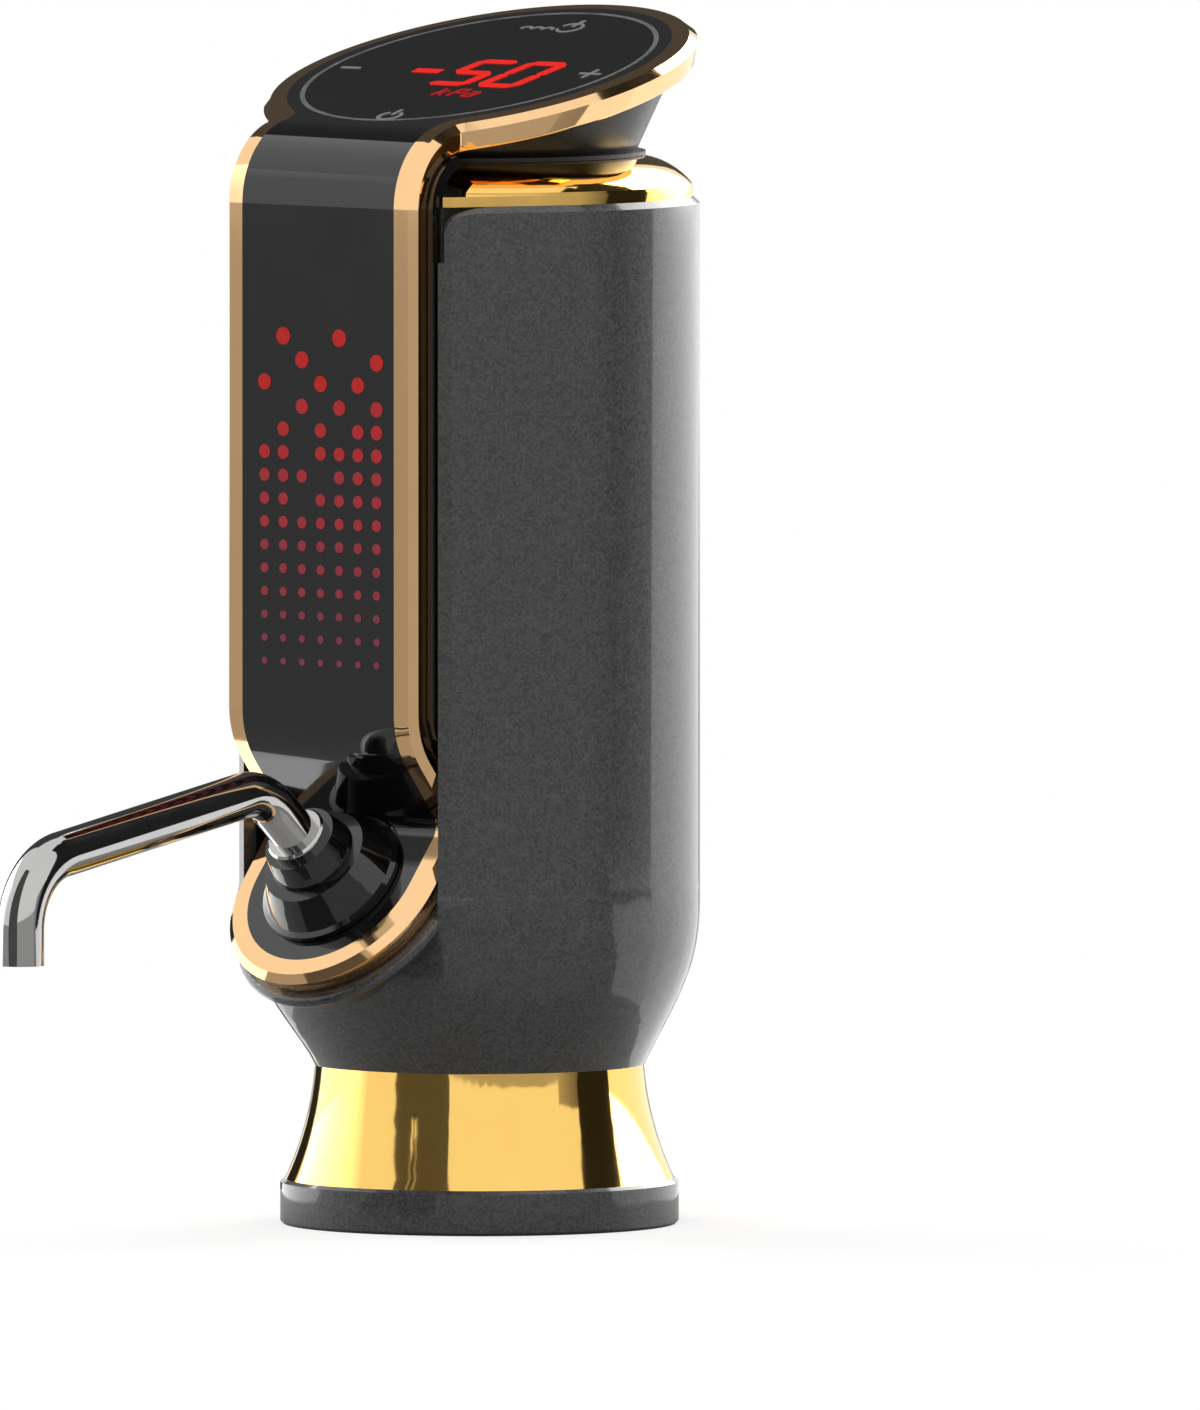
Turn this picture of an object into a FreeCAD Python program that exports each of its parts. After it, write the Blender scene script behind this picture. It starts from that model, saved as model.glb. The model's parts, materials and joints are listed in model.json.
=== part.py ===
import FreeCAD, Part
import math
import os
import re
import Sketcher

# Wine preservation dispenser: a battery pump head that stands on a bottle's neck and pours
# through a swivelling steel spout.
# Millimetres. Origin: centre of the base ring's underside. +Z up, the spout points along -Y,
# and the plane X = 0 is the plane of symmetry of the casing.

Vector = FreeCAD.Vector
RIGHT = Vector(1, 0, 0)
UP = Vector(0, 0, 1)
# Length that reaches past the whole object, overrun of a drilled hole, overlap of shapes that
# are fused, and play of a seal in its groove.
FAR = 80.0
OVERRUN = 1.0
OVERLAP = 0.2
SEAL_SLACK = 0.05

# Where the stopper's first rib starts, as a share of the ribs' spacing.
FIRST_RIB = 0.35

# Heights of the shoulder's upper sections, as shares of the stretch above its cone.
SHOULDER_SHARES = (0.0, 0.3, 0.6, 1.0)

# Components on the main board: place across, drop of the foot below the board's top edge,
# width, height and thickness.
CHIPS = (
    (0.0, 23.5, 7.0, 7.0, 0.7),
    (-6.5, 31.5, 4.0, 5.0, 0.7),
    (6.5, 31.5, 4.0, 5.0, 0.7),
    (-6.0, 15.5, 3.0, 1.6, 0.6),
    (6.0, 15.5, 3.0, 1.6, 0.6),
)

# ---------------------------------------------------------------- driving dimensions
DIMENSIONS = (
    # base ring and skirt
    ("base_radius", 21.7, "outside radius of the base ring"),
    ("base_height", 4.9, "height of the base ring"),
    ("base_edge", 0.35, "chamfer on the base ring's rims"),
    ("neck_radius", 16.5, "bore that a bottle's neck passes"),
    ("skirt_foot_radius", 21.2, "skirt radius where it stands on the base ring"),
    ("skirt_top_radius", 17.9, "skirt radius under the body"),
    ("skirt_height", 12.5, "height of the skirt"),
    ("skirt_flare", 36.0, "radius of the skirt's concave flare"),
    ("skirt_wall", 1.5, "wall of the skirt"),
    # stopper
    ("stopper_flange_radius", 12.0, "radius of the stopper core's flange"),
    ("stopper_flange", 1.6, "thickness of the stopper core's flange"),
    ("stopper_gap", 0.2, "gap between that flange and the skirt's flange"),
    ("stopper_tip", 0.6, "how far the core's tip lies inside the silicone"),
    ("stopper_stem_radius", 5.6, "radius of the stopper core's stem"),
    ("stopper_radius", 9.3, "radius of the stopper's sealing ribs"),
    ("stopper_rib", 0.65, "height of the stopper's sealing ribs"),
    ("stopper_ribs", 3, "number of the stopper's sealing ribs"),
    ("stopper_lead", 1.0, "how far the stopper's tip tapers"),
    ("stopper_clearance", 5.2, "height of the stopper's tip above the base"),
    ("hose_barb_radius", 1.2, "radius of a hose barb's stem"),
    ("hose_bore", 0.7, "radius of the passage in a barb"),
    ("hose_wall", 0.7, "wall of a silicone hose"),
    ("hose_bend", 3.0, "bend radius of a silicone hose"),
    ("hose_slack", 0.4, "distance of a hose's end from the foot of its barb"),
    ("hose_lead", 2.2, "straight length of the wine hose past the spout socket's barb"),
    ("hose_crossing", 1.5, "how much higher the air hose crosses the wine hose's side"),
    ("hose_end_gap", 0.1, "gap between a hose's end and the piece that it reaches"),
    ("barb_spacing", 5.6, "distance between the wine and the air passage"),
    ("barb_length", 5.0, "length of the stopper's upper barbs"),
    # body shell
    ("shell_radius", 24.0, "outside radius of the shell's round back"),
    ("shell_floor_radius", 18.0, "shell radius at its floor"),
    ("shell_height", 94.6, "height of the shell above the skirt"),
    ("shell_wall", 1.8, "wall of the shell"),
    ("shoulder_cone_height", 6.6, "height of the shell's lower cone"),
    ("shoulder_cone_angle", 27.0, "angle of the lower cone from upright"),
    ("shoulder_height", 17.2, "height where the shell's side becomes upright"),
    ("shoulder_overrun", 3.0, "height above that where the shoulder's loft ends"),
    ("floor_spread", 0.04, "share of the corners' spread at the shell's floor"),
    ("spread_power", 1.5, "power with which that spread grows with height"),
    ("lip_gap", 0.35, "gap between the trim and the recess's sides"),
    ("lip_bevel", 1.28, "width of the bevel along the recess's edges"),
    ("lip_back", 0.64, "how far the recess edges stay behind the shell's radius"),
    ("cheek_back", 1.4, "how far the front corners stay behind the shell's radius"),
    ("front_swell", 0.9, "how far the shell's front arc stands out past its radius"),
    ("recess_corner", 3.0, "radius of the recess's upper corners"),
    ("corner_back", 10.0, "distance from the axis where that rounding ends"),
    ("rim_bevel", 0.7, "bevel on the shell's rim and round the recess's corners"),
    # screws
    ("screw_radius", 0.8, "radius of a screw's shank"),
    ("screw_gap", 0.1, "clearance of a screw in the piece that it passes"),
    ("screw_head_radius", 1.5, "radius of a screw's head"),
    ("screw_head", 0.9, "height of a screw's head"),
    ("screw_recess", 0.6, "radius of the drive in a screw's head"),
    ("tip_gap", 0.2, "how far a screw's tip stays inside the piece that holds it"),
    ("push_gap", 0.05, "clearance of a pushed-in piece in its hole"),
    ("skirt_screw_reach", 14.0, "radius of the circle of screws that hold the skirt"),
    ("support_screw_reach", 15.5, "radius of the circle of screws that hold the cap support"),
    ("head_screw_reach", 10.5, "radius of the circle of screws that hold the head"),
    # charging socket
    ("socket_half_width", 4.5, "half width of the charging socket's mouth"),
    ("socket_half_height", 1.65, "half height of the charging socket's mouth"),
    ("socket_depth", 7.2, "depth of the charging socket"),
    ("socket_wall", 0.35, "wall of the charging socket"),
    ("socket_setback", 0.4, "how far the charging socket lies inside the shell's surface"),
    ("socket_gap", 0.25, "clearance round the charging socket in the shell"),
    # cap and head
    ("rim_ring_height", 1.1, "height of the ring on the shell's rim"),
    ("rim_ring_inset", 0.72, "inset of that ring from the shell's side"),
    ("rim_ring_width", 2.6, "width of that ring"),
    ("cap_inset", 0.8, "inset of the domed cap from the shell's side"),
    ("cap_cut", 6.6, "how far inside the shell's radius the cap is cut for the ribbon"),
    ("cap_support_radius", 16.6, "outside radius of the cap's support"),
    ("cap_support_wall", 2.3, "wall of the cap's support"),
    ("support_screw_grip", 3.0, "how deep the screws go into the cap's support"),
    ("cap_height", 4.45, "height of the domed cap above the shell"),
    ("cap_top_radius", 17.9, "radius of the flat on the domed cap"),
    ("cap_dome_radius", 8.85, "radius of the dome's section"),
    ("cap_wall", 1.4, "wall of the domed cap"),
    ("cap_skirt", 1.9, "wall of the domed cap at its foot"),
    ("cap_edge", 0.3, "height of the upright edge at the cap's foot"),
    ("cable_hole_radius", 6.0, "cable passage through cap and head"),
    ("head_rise", 14.0, "height of the head's centre above the shell"),
    ("head_tilt", 15.0, "tilt of the head towards the front"),
    ("head_radius", 21.25, "radius of the head's black plate"),
    ("gasket_thickness", 0.45, "thickness of the gasket between cap and head"),
    ("gasket_radius", 18.1, "radius of that gasket"),
    ("head_foot_radius", 17.1, "radius of the head's cone at its foot"),
    ("head_neck_angle", 24.6, "angle of the head's cone from upright"),
    ("head_neck_wall", 1.6, "wall of the head's cone"),
    ("window_radius", 19.8, "radius of the display window"),
    ("window_shelf", 2.0, "width of the shelf that carries the window"),
    ("window_ring", 0.55, "width of the ring round the window"),
    ("window_thickness", 0.9, "thickness of the display window"),
    # ribbon panel and its trim
    ("ribbon_stand", 3.15, "how far the ribbon's face stands out past the shell's radius"),
    ("ribbon_half_width", 10.76, "half width of the ribbon's black face"),
    ("ribbon_thickness", 1.6, "thickness of the black panel"),
    ("ribbon_bend", 9.0, "radius of the bend over the top"),
    ("ribbon_sweep_rise", 18.5, "height above the spout seat where the ribbon sweeps inwards"),
    ("ribbon_sweep_angle", 40.0, "angle of the inward sweep from upright"),
    ("ribbon_sweep_radius", 9.0, "radius at the start of the inward sweep"),
    ("valley_radius", 2.0, "radius of the valley above the spout seat"),
    ("neck_fillet", 3.4, "radius where the ribbon widens to the head"),
    ("trim_face", 1.9, "width of the trim's front facet"),
    ("trim_drop", 0.12, "how far that facet falls away"),
    ("trim_bevel", 0.8, "width and height of the trim's middle facet"),
    ("trim_lean", 0.6, "how far the side facet leans inwards towards its foot"),
    ("trim_foot", 0.3, "chamfer at the trim's foot"),
    ("trim_depth", 3.2, "depth of the trim"),
    ("carrier_thickness", 1.4, "thickness of the panel carrier"),
    ("carrier_overlap", 0.1, "how far the panel carrier reaches out past the trim"),
    # spout seat and spout
    ("seat_stand", 0.6, "how far the spout seat's centre stands out past the shell's radius"),
    ("seat_height", 38.5, "height of the spout seat's centre"),
    ("seat_tilt", 50.0, "tilt of the spout's axis from upright"),
    ("pod_lip", 0.65, "how far the pod's lip stands out past the trim"),
    ("pod_bead", 0.7, "radius of the bead round the pod's lip"),
    ("pod_depth", 8.0, "depth of the pod below the trim"),
    ("pod_rise", 2.0, "how far the pod runs up past the seat's centre"),
    ("pod_waist", 5.6, "how far the pod's side draws in towards its foot"),
    ("pod_hollow", 0.9, "how far the pod's side is hollowed"),
    ("pod_plate", 4.4, "thickness of the plate under the spout seat"),
    ("collar_radius", 8.4, "radius of the spout collar's foot rim"),
    ("collar_clearance", 0.3, "gap round the collar's foot rim and under it"),
    ("collar_rim", 0.7, "height of that rim"),
    ("collar_cone_radius", 7.8, "radius of the collar's cone at its foot"),
    ("collar_cone_top", 6.1, "radius of the collar's cone at its top"),
    ("collar_cone_height", 4.3, "height of the top of the cone"),
    ("collar_neck_radius", 4.9, "radius of the collar's neck at its foot"),
    ("collar_neck_top", 4.2, "radius of the collar's neck at its top"),
    ("collar_height", 7.5, "height of the collar"),
    ("collar_edge", 0.25, "height of the collar's small steps and of the ferrule's bevel"),
    ("ferrule_radius", 3.45, "radius of the ferrule"),
    ("ferrule_height", 1.0, "height of the ferrule above the collar"),
    ("spigot_radius", 3.6, "radius of the collar's spigot"),
    ("spigot_length", 9.0, "length of the collar's spigot"),
    ("spigot_clearance", 0.06, "running clearance of the spigot"),
    ("spigot_room", 0.5, "clearance round the spigot in the panel"),
    ("spigot_end_gap", 0.3, "gap under the spigot's end"),
    ("spigot_passage", 1.6, "wine passage through the spigot"),
    ("seal_groove", 0.55, "depth of the seal grooves"),
    ("seal_width", 1.2, "width of the seal grooves"),
    ("seal_low", 1.4, "distance of the first groove from the spigot's end"),
    ("seal_pitch", 2.4, "distance between the two grooves"),
    ("tube_radius", 2.53, "outside radius of the spout tube"),
    ("tube_bore", 2.03, "inside radius of the spout tube"),
    ("tube_seat", 4.0, "how deep the tube sits in the collar"),
    ("tube_rise", 16.2, "distance from the seat to the tube's first corner"),
    ("tube_first_bend", 7.0, "radius of the tube's first bend"),
    ("tube_second_bend", 8.0, "radius of the tube's second bend"),
    ("tube_fall", 9.2, "slope of the tube's long run"),
    ("tube_reach", 76.7, "distance from the axis to the tube's mouth"),
    ("tube_mouth", 31.9, "height of the tube's mouth"),
    ("fitting_radius", 5.9, "radius of the spout socket's shank"),
    ("fitting_flange", 6.9, "radius of the spout socket's flange"),
    ("fitting_nut", 7.6, "radius of the spout socket's nut"),
    ("fitting_nut_height", 1.8, "height of the spout socket's nut"),
    ("fitting_length", 11.4, "length of the spout socket below the seat"),
    ("fitting_barb", 4.4, "length of the spout socket's barb"),
    # inside
    ("works_clearance", 0.3, "gap kept between inner pieces and the shell"),
    ("touch_board_radius", 17.4, "radius of the touch board under the window"),
    ("display_half_width", 12.0, "half width of the display module"),
    ("display_half_length", 7.0, "half length of the display module"),
    ("display_thickness", 3.4, "thickness of the display module"),
    ("led_board_thickness", 0.8, "thickness of the light board"),
    ("led_board_half_width", 10.2, "half width of the light board"),
    ("led_size", 1.2, "side of a light"),
    ("led_height", 0.6, "height of a light"),
    ("led_columns", 7, "columns of lights"),
    ("led_rows", 15, "rows of lights"),
    ("led_column_pitch", 2.65, "distance between columns of lights"),
    ("led_row_pitch", 2.525, "distance between rows of lights"),
    ("led_margin", 1.6, "margin of the light board above and below the lights"),
    ("led_drop", 28.36, "how far the top row of lights lies below the head's centre"),
    ("main_board_half_width", 9.5, "half width of the main board"),
    ("main_board_foot", 62.0, "height of the main board's lower edge"),
    ("main_board_clearance", 0.9, "gap between the main board and the plate above it"),
    ("main_board_gap", 0.8, "height of the main board's spacers"),
    ("spacer_radius", 1.2, "radius of the main board's spacers"),
    ("spacer_inset", 2.6, "distance of the spacers from the board's edges"),
    ("chassis_back", 1.7, "where the chassis web's front face lies"),
    ("chassis_web", 1.5, "thickness of the chassis web"),
    ("chassis_shelf_height", 36.0, "height of the chassis shelf"),
    ("chassis_shelf", 1.6, "thickness of the chassis shelf"),
    ("chassis_arch", 14.0, "height of the arch that hoses pass in the web's foot"),
    ("chassis_arch_half_width", 9.0, "half width of that arch"),
    ("shelf_front", 4.0, "how far the shelf reaches in front of the solenoid's axis"),
    ("holder_reach", 6.0, "how far the cell's shelves reach behind its axis"),
    ("holder_half_width", 8.0, "half width of the cell's shelves"),
    ("bush_room", 0.6, "clearance round the motor's bush in the chassis"),
    ("hose_room", 0.5, "clearance round a hose in the chassis"),
    ("chassis_ring_drop", 3.6, "how far the chassis's upper plate lies below the shell's top"),
    ("cell_radius", 9.15, "radius of the lithium cell"),
    ("cell_length", 49.0, "length of the lithium cell"),
    ("cell_foot", 52.0, "height of the cell's lower end"),
    ("cell_edge", 0.6, "bevel at the cell's ends"),
    ("button_radius", 3.2, "radius of the cell's raised end"),
    ("button_height", 0.8, "height of the cell's raised end"),
    ("contact_thickness", 0.5, "thickness of a cell contact"),
    ("contact_half_width", 5.0, "half width of a cell contact"),
    ("contact_half_depth", 4.0, "half depth of a cell contact"),
    ("board_thickness", 1.2, "thickness of a circuit board"),
    ("socket_bulge", 1.02, "bulge of the socket's round ends, as a share of its half height"),
    ("power_board_half_width", 10.5, "half width of the power board"),
    ("power_board_gap", 0.8, "gap between the power board and the chassis web"),
    ("power_board_back", 3.8, "gap between the power board and the shell behind it"),
    ("winding_rise", 0.5, "length of the magnets and the windings past the armature"),
    ("slot_depth", 0.9, "depth of the armature's slots to their centres"),
    ("commutator_gap", 0.6, "gap between the commutator and the upper bush"),
    ("motor_gap", 0.9, "gap between the motor and the chassis web"),
    ("motor_radius", 10.0, "outside radius of the motor can"),
    ("motor_foot", 74.0, "height of the motor's mounting face"),
    ("motor_length", 25.0, "length of the motor can"),
    ("motor_wall", 0.8, "wall of the motor can"),
    ("motor_plate", 1.0, "thickness of the motor can's end plates"),
    ("motor_screw_reach", 6.0, "distance of the motor's screws from its axis"),
    ("magnet_split", 7.0, "gap between the two magnets"),
    ("bush_stand", 1.2, "how far a motor bush stands out of the can"),
    ("bush_inside", 2.0, "how far a motor bush reaches into the can"),
    ("armature_drop", 4.5, "distance of the armature from the motor's mounting face"),
    ("armature_slot", 1.25, "radius of a slot in the armature"),
    ("motor_shaft_radius", 1.0, "radius of the motor shaft"),
    ("bush_radius", 2.6, "outside radius of a motor bush"),
    ("bush_clearance", 0.03, "running clearance of a bush"),
    ("armature_radius", 6.6, "radius of the armature"),
    ("armature_length", 13.0, "length of the armature"),
    ("magnet_gap", 0.4, "air gap between armature and magnets"),
    ("magnet_seat", 0.1, "glue gap between magnets and can"),
    ("commutator_radius", 2.3, "radius of the commutator"),
    ("pump_radius", 10.4, "radius of the pump head"),
    ("pump_chamber", 9.0, "radius inside the pump housing"),
    ("pump_wall", 1.6, "thickness of the pump's end walls"),
    ("pump_housing_height", 12.0, "height of the pump housing"),
    ("drive_pin_radius", 0.8, "radius of the eccentric's pin"),
    ("drive_pin_inset", 1.4, "distance of the pin from the eccentric's edge"),
    ("drive_pin_length", 1.8, "length of the eccentric's pin"),
    ("eccentric_radius", 4.2, "radius of the eccentric"),
    ("eccentric_height", 3.6, "height of the eccentric"),
    ("eccentric_rise", 5.2, "height of the eccentric above the pump housing's foot"),
    ("wobble_radius", 7.6, "radius of the wobble plate"),
    ("wobble_thickness", 1.4, "thickness of the wobble plate"),
    ("wobble_rise", 1.6, "height of the wobble plate's three feet"),
    ("wobble_foot", 1.1, "radius of one of these feet"),
    ("wobble_inset", 2.2, "distance of these feet from the plate's edge"),
    ("diaphragm_thickness", 1.4, "thickness of the diaphragm's rim"),
    ("valve_plate_thickness", 2.4, "thickness of the valve plate"),
    ("valve_port", 0.7, "radius of a port in the valve plate"),
    ("pump_cap_height", 5.2, "height of the pump's cap"),
    ("solenoid_radius", 4.4, "radius of the solenoid coil"),
    ("solenoid_length", 13.0, "length of the solenoid coil"),
    ("solenoid_base", 1.0, "thickness of the solenoid's ends"),
    ("winding_inset", 0.5, "how far the winding lies inside the solenoid's ends"),
    ("solenoid_end", 4.3, "where the coil meets the valve block"),
    ("solenoid_forward", 7.6, "how far the solenoid's axis stands forward"),
    ("solenoid_height", 43.5, "height of the solenoid's axis"),
    ("plunger_radius", 1.8, "radius of the solenoid plunger"),
    ("plunger_clearance", 0.08, "running clearance of the plunger"),
    ("plunger_travel", 1.5, "stroke of the plunger"),
    ("plunger_length", 12.0, "length of the plunger"),
    ("plunger_point", 0.6, "chamfer on the plunger's tip"),
    ("spring_room", 1.5, "length of the compressed spring's room"),
    ("spring_radius", 1.2, "mean radius of the plunger's spring"),
    ("spring_wire", 0.15, "half the width of the spring's square wire"),
    ("spring_turns", 3, "turns of the spring"),
    ("spring_gap", 0.1, "gap between the spring and the plunger"),
    ("valve_length", 8.6, "length of the valve block"),
    ("sensor_side", 5.0, "side of the pressure sensor"),
    ("sensor_depth", 2.0, "thickness of the pressure sensor"),
    ("sensor_port", 0.6, "radius of the pressure sensor's port"),
    ("valve_outlet_across", 11.0, "where the valve's outlet lies sideways"),
    ("valve_outlet_forward", 4.6, "how far the valve's outlet lies forward"),
    ("nozzle_across", 7.5, "where the pump's nozzles lie sideways"),
    ("nozzle_radius", 1.0, "radius of a pump nozzle"),
    ("nozzle_bore", 0.5, "bore of a pump nozzle"),
    ("nozzle_stub", 2.2, "length of a pump nozzle"),
)

doc = FreeCAD.newDocument("WineDispenser")
sheet = doc.addObject("Spreadsheet::Sheet", "Dims")
for row, (alias, value, meaning) in enumerate(DIMENSIONS, start=1):
    sheet.set(f"A{row}", meaning)
    sheet.set(f"B{row}", str(value))
    sheet.setAlias(f"B{row}", alias)
doc.recompute()

# Levels and radii that follow from the driving dimensions.
DERIVED = {
    "shell_floor": "base_height + skirt_height",
    "shell_top": "shell_floor + shell_height",
    "shell_inside": "shell_radius - shell_wall",
    "floor_top": "shell_floor + shell_wall",
    "flange_foot": "shell_floor - stopper_flange",
    "trim_reach": "trim_face + trim_bevel",
    "lip_half_width": "ribbon_half_width + trim_reach + lip_gap",
    "lip_forward": "shell_radius - lip_back",
    "cheek_half_width": "lip_half_width + lip_bevel",
    "cheek_forward": "shell_radius - cheek_back",
    "ribbon_forward": "shell_radius + ribbon_stand",
    "ribbon_sweep_height": "seat_height + ribbon_sweep_rise",
    "seat_forward": "shell_radius + seat_stand",
    "carrier_half_width": "ribbon_half_width + trim_reach + carrier_overlap",
    "cap_front": "shell_radius - cap_cut",
    "cap_radius": "shell_radius - cap_inset",
    "head_height": "shell_top + head_rise",
    "led_top_row": "head_height - led_drop",
    "chassis_ring_height": "shell_top - chassis_ring_drop",
    "chassis_ring_top": "chassis_ring_height + chassis_shelf",
    "main_board_top": "chassis_ring_height - main_board_clearance",
    "pump_forward": "motor_radius + motor_gap - chassis_back",
    "cap_foot": "shell_top + rim_ring_height",
    "cap_top": "shell_top + cap_height",
    "gasket_top": "cap_top + gasket_thickness",
    "cell_back": "chassis_back + chassis_web + works_clearance + cell_radius",
    "motor_top": "motor_foot + motor_length",
    "armature_foot": "motor_foot + armature_drop",
    "housing_foot": "motor_foot - pump_housing_height",
    "diaphragm_foot": "housing_foot - diaphragm_thickness",
    "valve_plate_foot": "diaphragm_foot - valve_plate_thickness",
    "pump_cap_foot": "valve_plate_foot - pump_cap_height",
    "eccentric_foot": "housing_foot + eccentric_rise",
    "hose_radius": "hose_barb_radius + hose_wall",
    "shelf_top": "chassis_shelf_height + chassis_shelf",
    "socket_height": "shelf_top + board_thickness + socket_half_height",
    "carrier_back": "ribbon_forward - trim_depth - carrier_thickness",
    "valve_outlet_foot": "solenoid_height - solenoid_radius - nozzle_stub",
    "plunger_start": "solenoid_end - solenoid_length + solenoid_base + spring_room + plunger_travel",
}
ALIASES = {alias for alias, _, _ in DIMENSIONS}
WORD = re.compile(r"[a-z_][a-z_0-9]*")


def bound(formula):
    """Write a formula on dimension names as an expression on the sheet's cells."""
    def swap(match):
        word = match.group()
        if word in DERIVED:
            return "(" + bound(DERIVED[word]) + ")"
        return "Dims." + word if word in ALIASES else word
    return WORD.sub(swap, str(formula))


def size(formula):
    """Work a formula on dimension names out to a number."""
    value = sheet.evalExpression(bound(formula))
    return float(getattr(value, "Value", value))


# ---------------------------------------------------------------- sketches and features
def origin_plane(body, role):
    return next(item for item in body.Origin.OriginFeatures if item.Role == role)


def new_body(label):
    body = doc.addObject("PartDesign::Body", label)
    body.Label = label
    return body


def new_sketch(body, name, role, level="0"):
    """Sketch on one of the body's planes, lifted off it by a formula."""
    sketch = body.newObject("Sketcher::SketchObject", name)
    sketch.AttachmentSupport = [(origin_plane(body, role), "")]
    sketch.MapMode = "FlatFace"
    sketch.setExpression("AttachmentOffset.Base.z", bound(level))
    return sketch


def pin_point(sketch, edge, end, across, up):
    """Tie one end of an edge to two formulas, measured from the sketch's origin."""
    for kind, formula, axis in (("DistanceX", across, -2), ("DistanceY", up, -1)):
        if str(formula) == "0":
            sketch.addConstraint(Sketcher.Constraint("PointOnObject", edge, end, axis))
            continue
        rule = Sketcher.Constraint(kind, -1, 1, edge, end, size(formula))
        number = sketch.addConstraint(rule)
        sketch.setExpression(f"Constraints[{number}]", bound(formula))


def arc_between(start, finish, radius):
    """Arc from start to finish; a positive radius bulges to the right of travel."""
    chord = finish - start
    half = chord.Length / 2
    left = Vector(-chord.y, chord.x, 0).normalize()
    rise = math.sqrt(max(0.0, radius * radius - half * half))
    centre = (start + finish) / 2 + left * math.copysign(rise, radius)
    angles = [math.atan2(p.y - centre.y, p.x - centre.x) for p in (start, finish)]
    if radius < 0:
        angles.reverse()
    circle = Part.Circle(centre, UP, abs(radius))
    return Part.ArcOfCircle(circle, angles[0], angles[1])


def draw_outline(sketch, corners):
    """Close an outline through corners (across, up) or (across, up, radius), whose radius
    makes an arc of the edge that leaves the corner."""
    points = [Vector(size(corner[0]), size(corner[1]), 0) for corner in corners]
    first = sketch.GeometryCount
    ends = []
    for index, corner in enumerate(corners):
        start = points[index]
        finish = points[(index + 1) % len(points)]
        if len(corner) == 3:
            sketch.addGeometry(arc_between(start, finish, size(corner[2])), False)
            ends.append((1, 2) if size(corner[2]) > 0 else (2, 1))
        else:
            sketch.addGeometry(Part.LineSegment(start, finish), False)
            ends.append((1, 2))
    for index, corner in enumerate(corners):
        after = (index + 1) % len(corners)
        join = Sketcher.Constraint("Coincident", first + index, ends[index][1],
                                   first + after, ends[after][0])
        sketch.addConstraint(join)
    for index, corner in enumerate(corners):
        pin_point(sketch, first + index, ends[index][0], corner[0], corner[1])
        if len(corner) == 3:
            rule = Sketcher.Constraint("Radius", first + index, abs(size(corner[2])))
            number = sketch.addConstraint(rule)
            sketch.setExpression(f"Constraints[{number}]", f"abs({bound(corner[2])})")


def draw_circle(sketch, across, up, radius):
    centre = Vector(size(across), size(up), 0)
    edge = sketch.addGeometry(Part.Circle(centre, UP, size(radius)), False)
    pin_point(sketch, edge, 3, across, up)
    number = sketch.addConstraint(Sketcher.Constraint("Radius", edge, size(radius)))
    sketch.setExpression(f"Constraints[{number}]", bound(radius))


def revolve(body, corners):
    """Turn an outline drawn in the body's XZ plane about the body's Z axis."""
    sketch = new_sketch(body, body.Label + "_section", "XZ_Plane")
    draw_outline(sketch, corners)
    feature = body.newObject("PartDesign::Revolution", body.Label + "_turn")
    feature.Profile = sketch
    feature.ReferenceAxis = (sketch, ["V_Axis"])
    feature.Angle = 360
    doc.recompute()
    return feature


def groove(body, name, corners):
    """Cut a ring of the given section round the body's Z axis."""
    sketch = new_sketch(body, name + "_section", "XZ_Plane")
    draw_outline(sketch, corners)
    feature = body.newObject("PartDesign::Groove", name)
    feature.Profile = sketch
    feature.ReferenceAxis = (sketch, ["V_Axis"])
    feature.Angle = 360
    doc.recompute()
    return feature


def pad(body, name, role, draw, length, level="0"):
    """Pad what draw() puts in a sketch on one of the body's planes, lifted to a level."""
    sketch = new_sketch(body, name + "_outline", role, level)
    draw(sketch)
    feature = body.newObject("PartDesign::Pad", name)
    feature.Profile = sketch
    feature.setExpression("Length", bound(length))
    doc.recompute()
    return feature


def pocket(body, name, role, draw, length=None, level="0"):
    """Cut what draw() puts in a sketch: through everything, or upwards for a stated length."""
    sketch = new_sketch(body, name + "_outline", role, level)
    draw(sketch)
    before = body.Shape.Volume
    feature = body.newObject("PartDesign::Pocket", name)
    feature.Profile = sketch
    if length is None:
        feature.SideType = "Symmetric"
        feature.Type = "ThroughAll"
    else:
        feature.Reversed = True
        feature.setExpression("Length", bound(length))
    doc.recompute()
    if not body.Shape.Volume < before:
        raise RuntimeError(name + " cuts nothing")
    return feature


def place(body, across="0", back="0", up="0"):
    """Bind a body's position to formulas."""
    for axis, formula in (("x", across), ("y", back), ("z", up)):
        body.setExpression(f"Placement.Base.{axis}", bound(formula))


def turned(label, corners, across="0", back="0", up="0"):
    body = new_body(label)
    revolve(body, corners)
    place(body, across, back, up)
    return body


def solid_feature(label, shape):
    """A piece whose form comes from Part's own functions."""
    feature = doc.addObject("Part::Feature", label)
    feature.Label = label
    feature.Shape = shape
    return feature


def rod(radius, low, high, across="0", back="0"):
    """Upright cylinder between two levels, for cuts and for shapes of Part's own."""
    foot = Vector(size(across), size(back), size(low))
    return Part.makeCylinder(size(radius), size(high) - size(low), foot)


def drill(shape, radius, low, high, places):
    """Cut an upright hole right through, at each place, between two levels."""
    for across, back in places:
        shape = shape.cut(rod(radius, f"{low} - {OVERRUN}", f"{high} + {OVERRUN}", across, back))
    return shape


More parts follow.
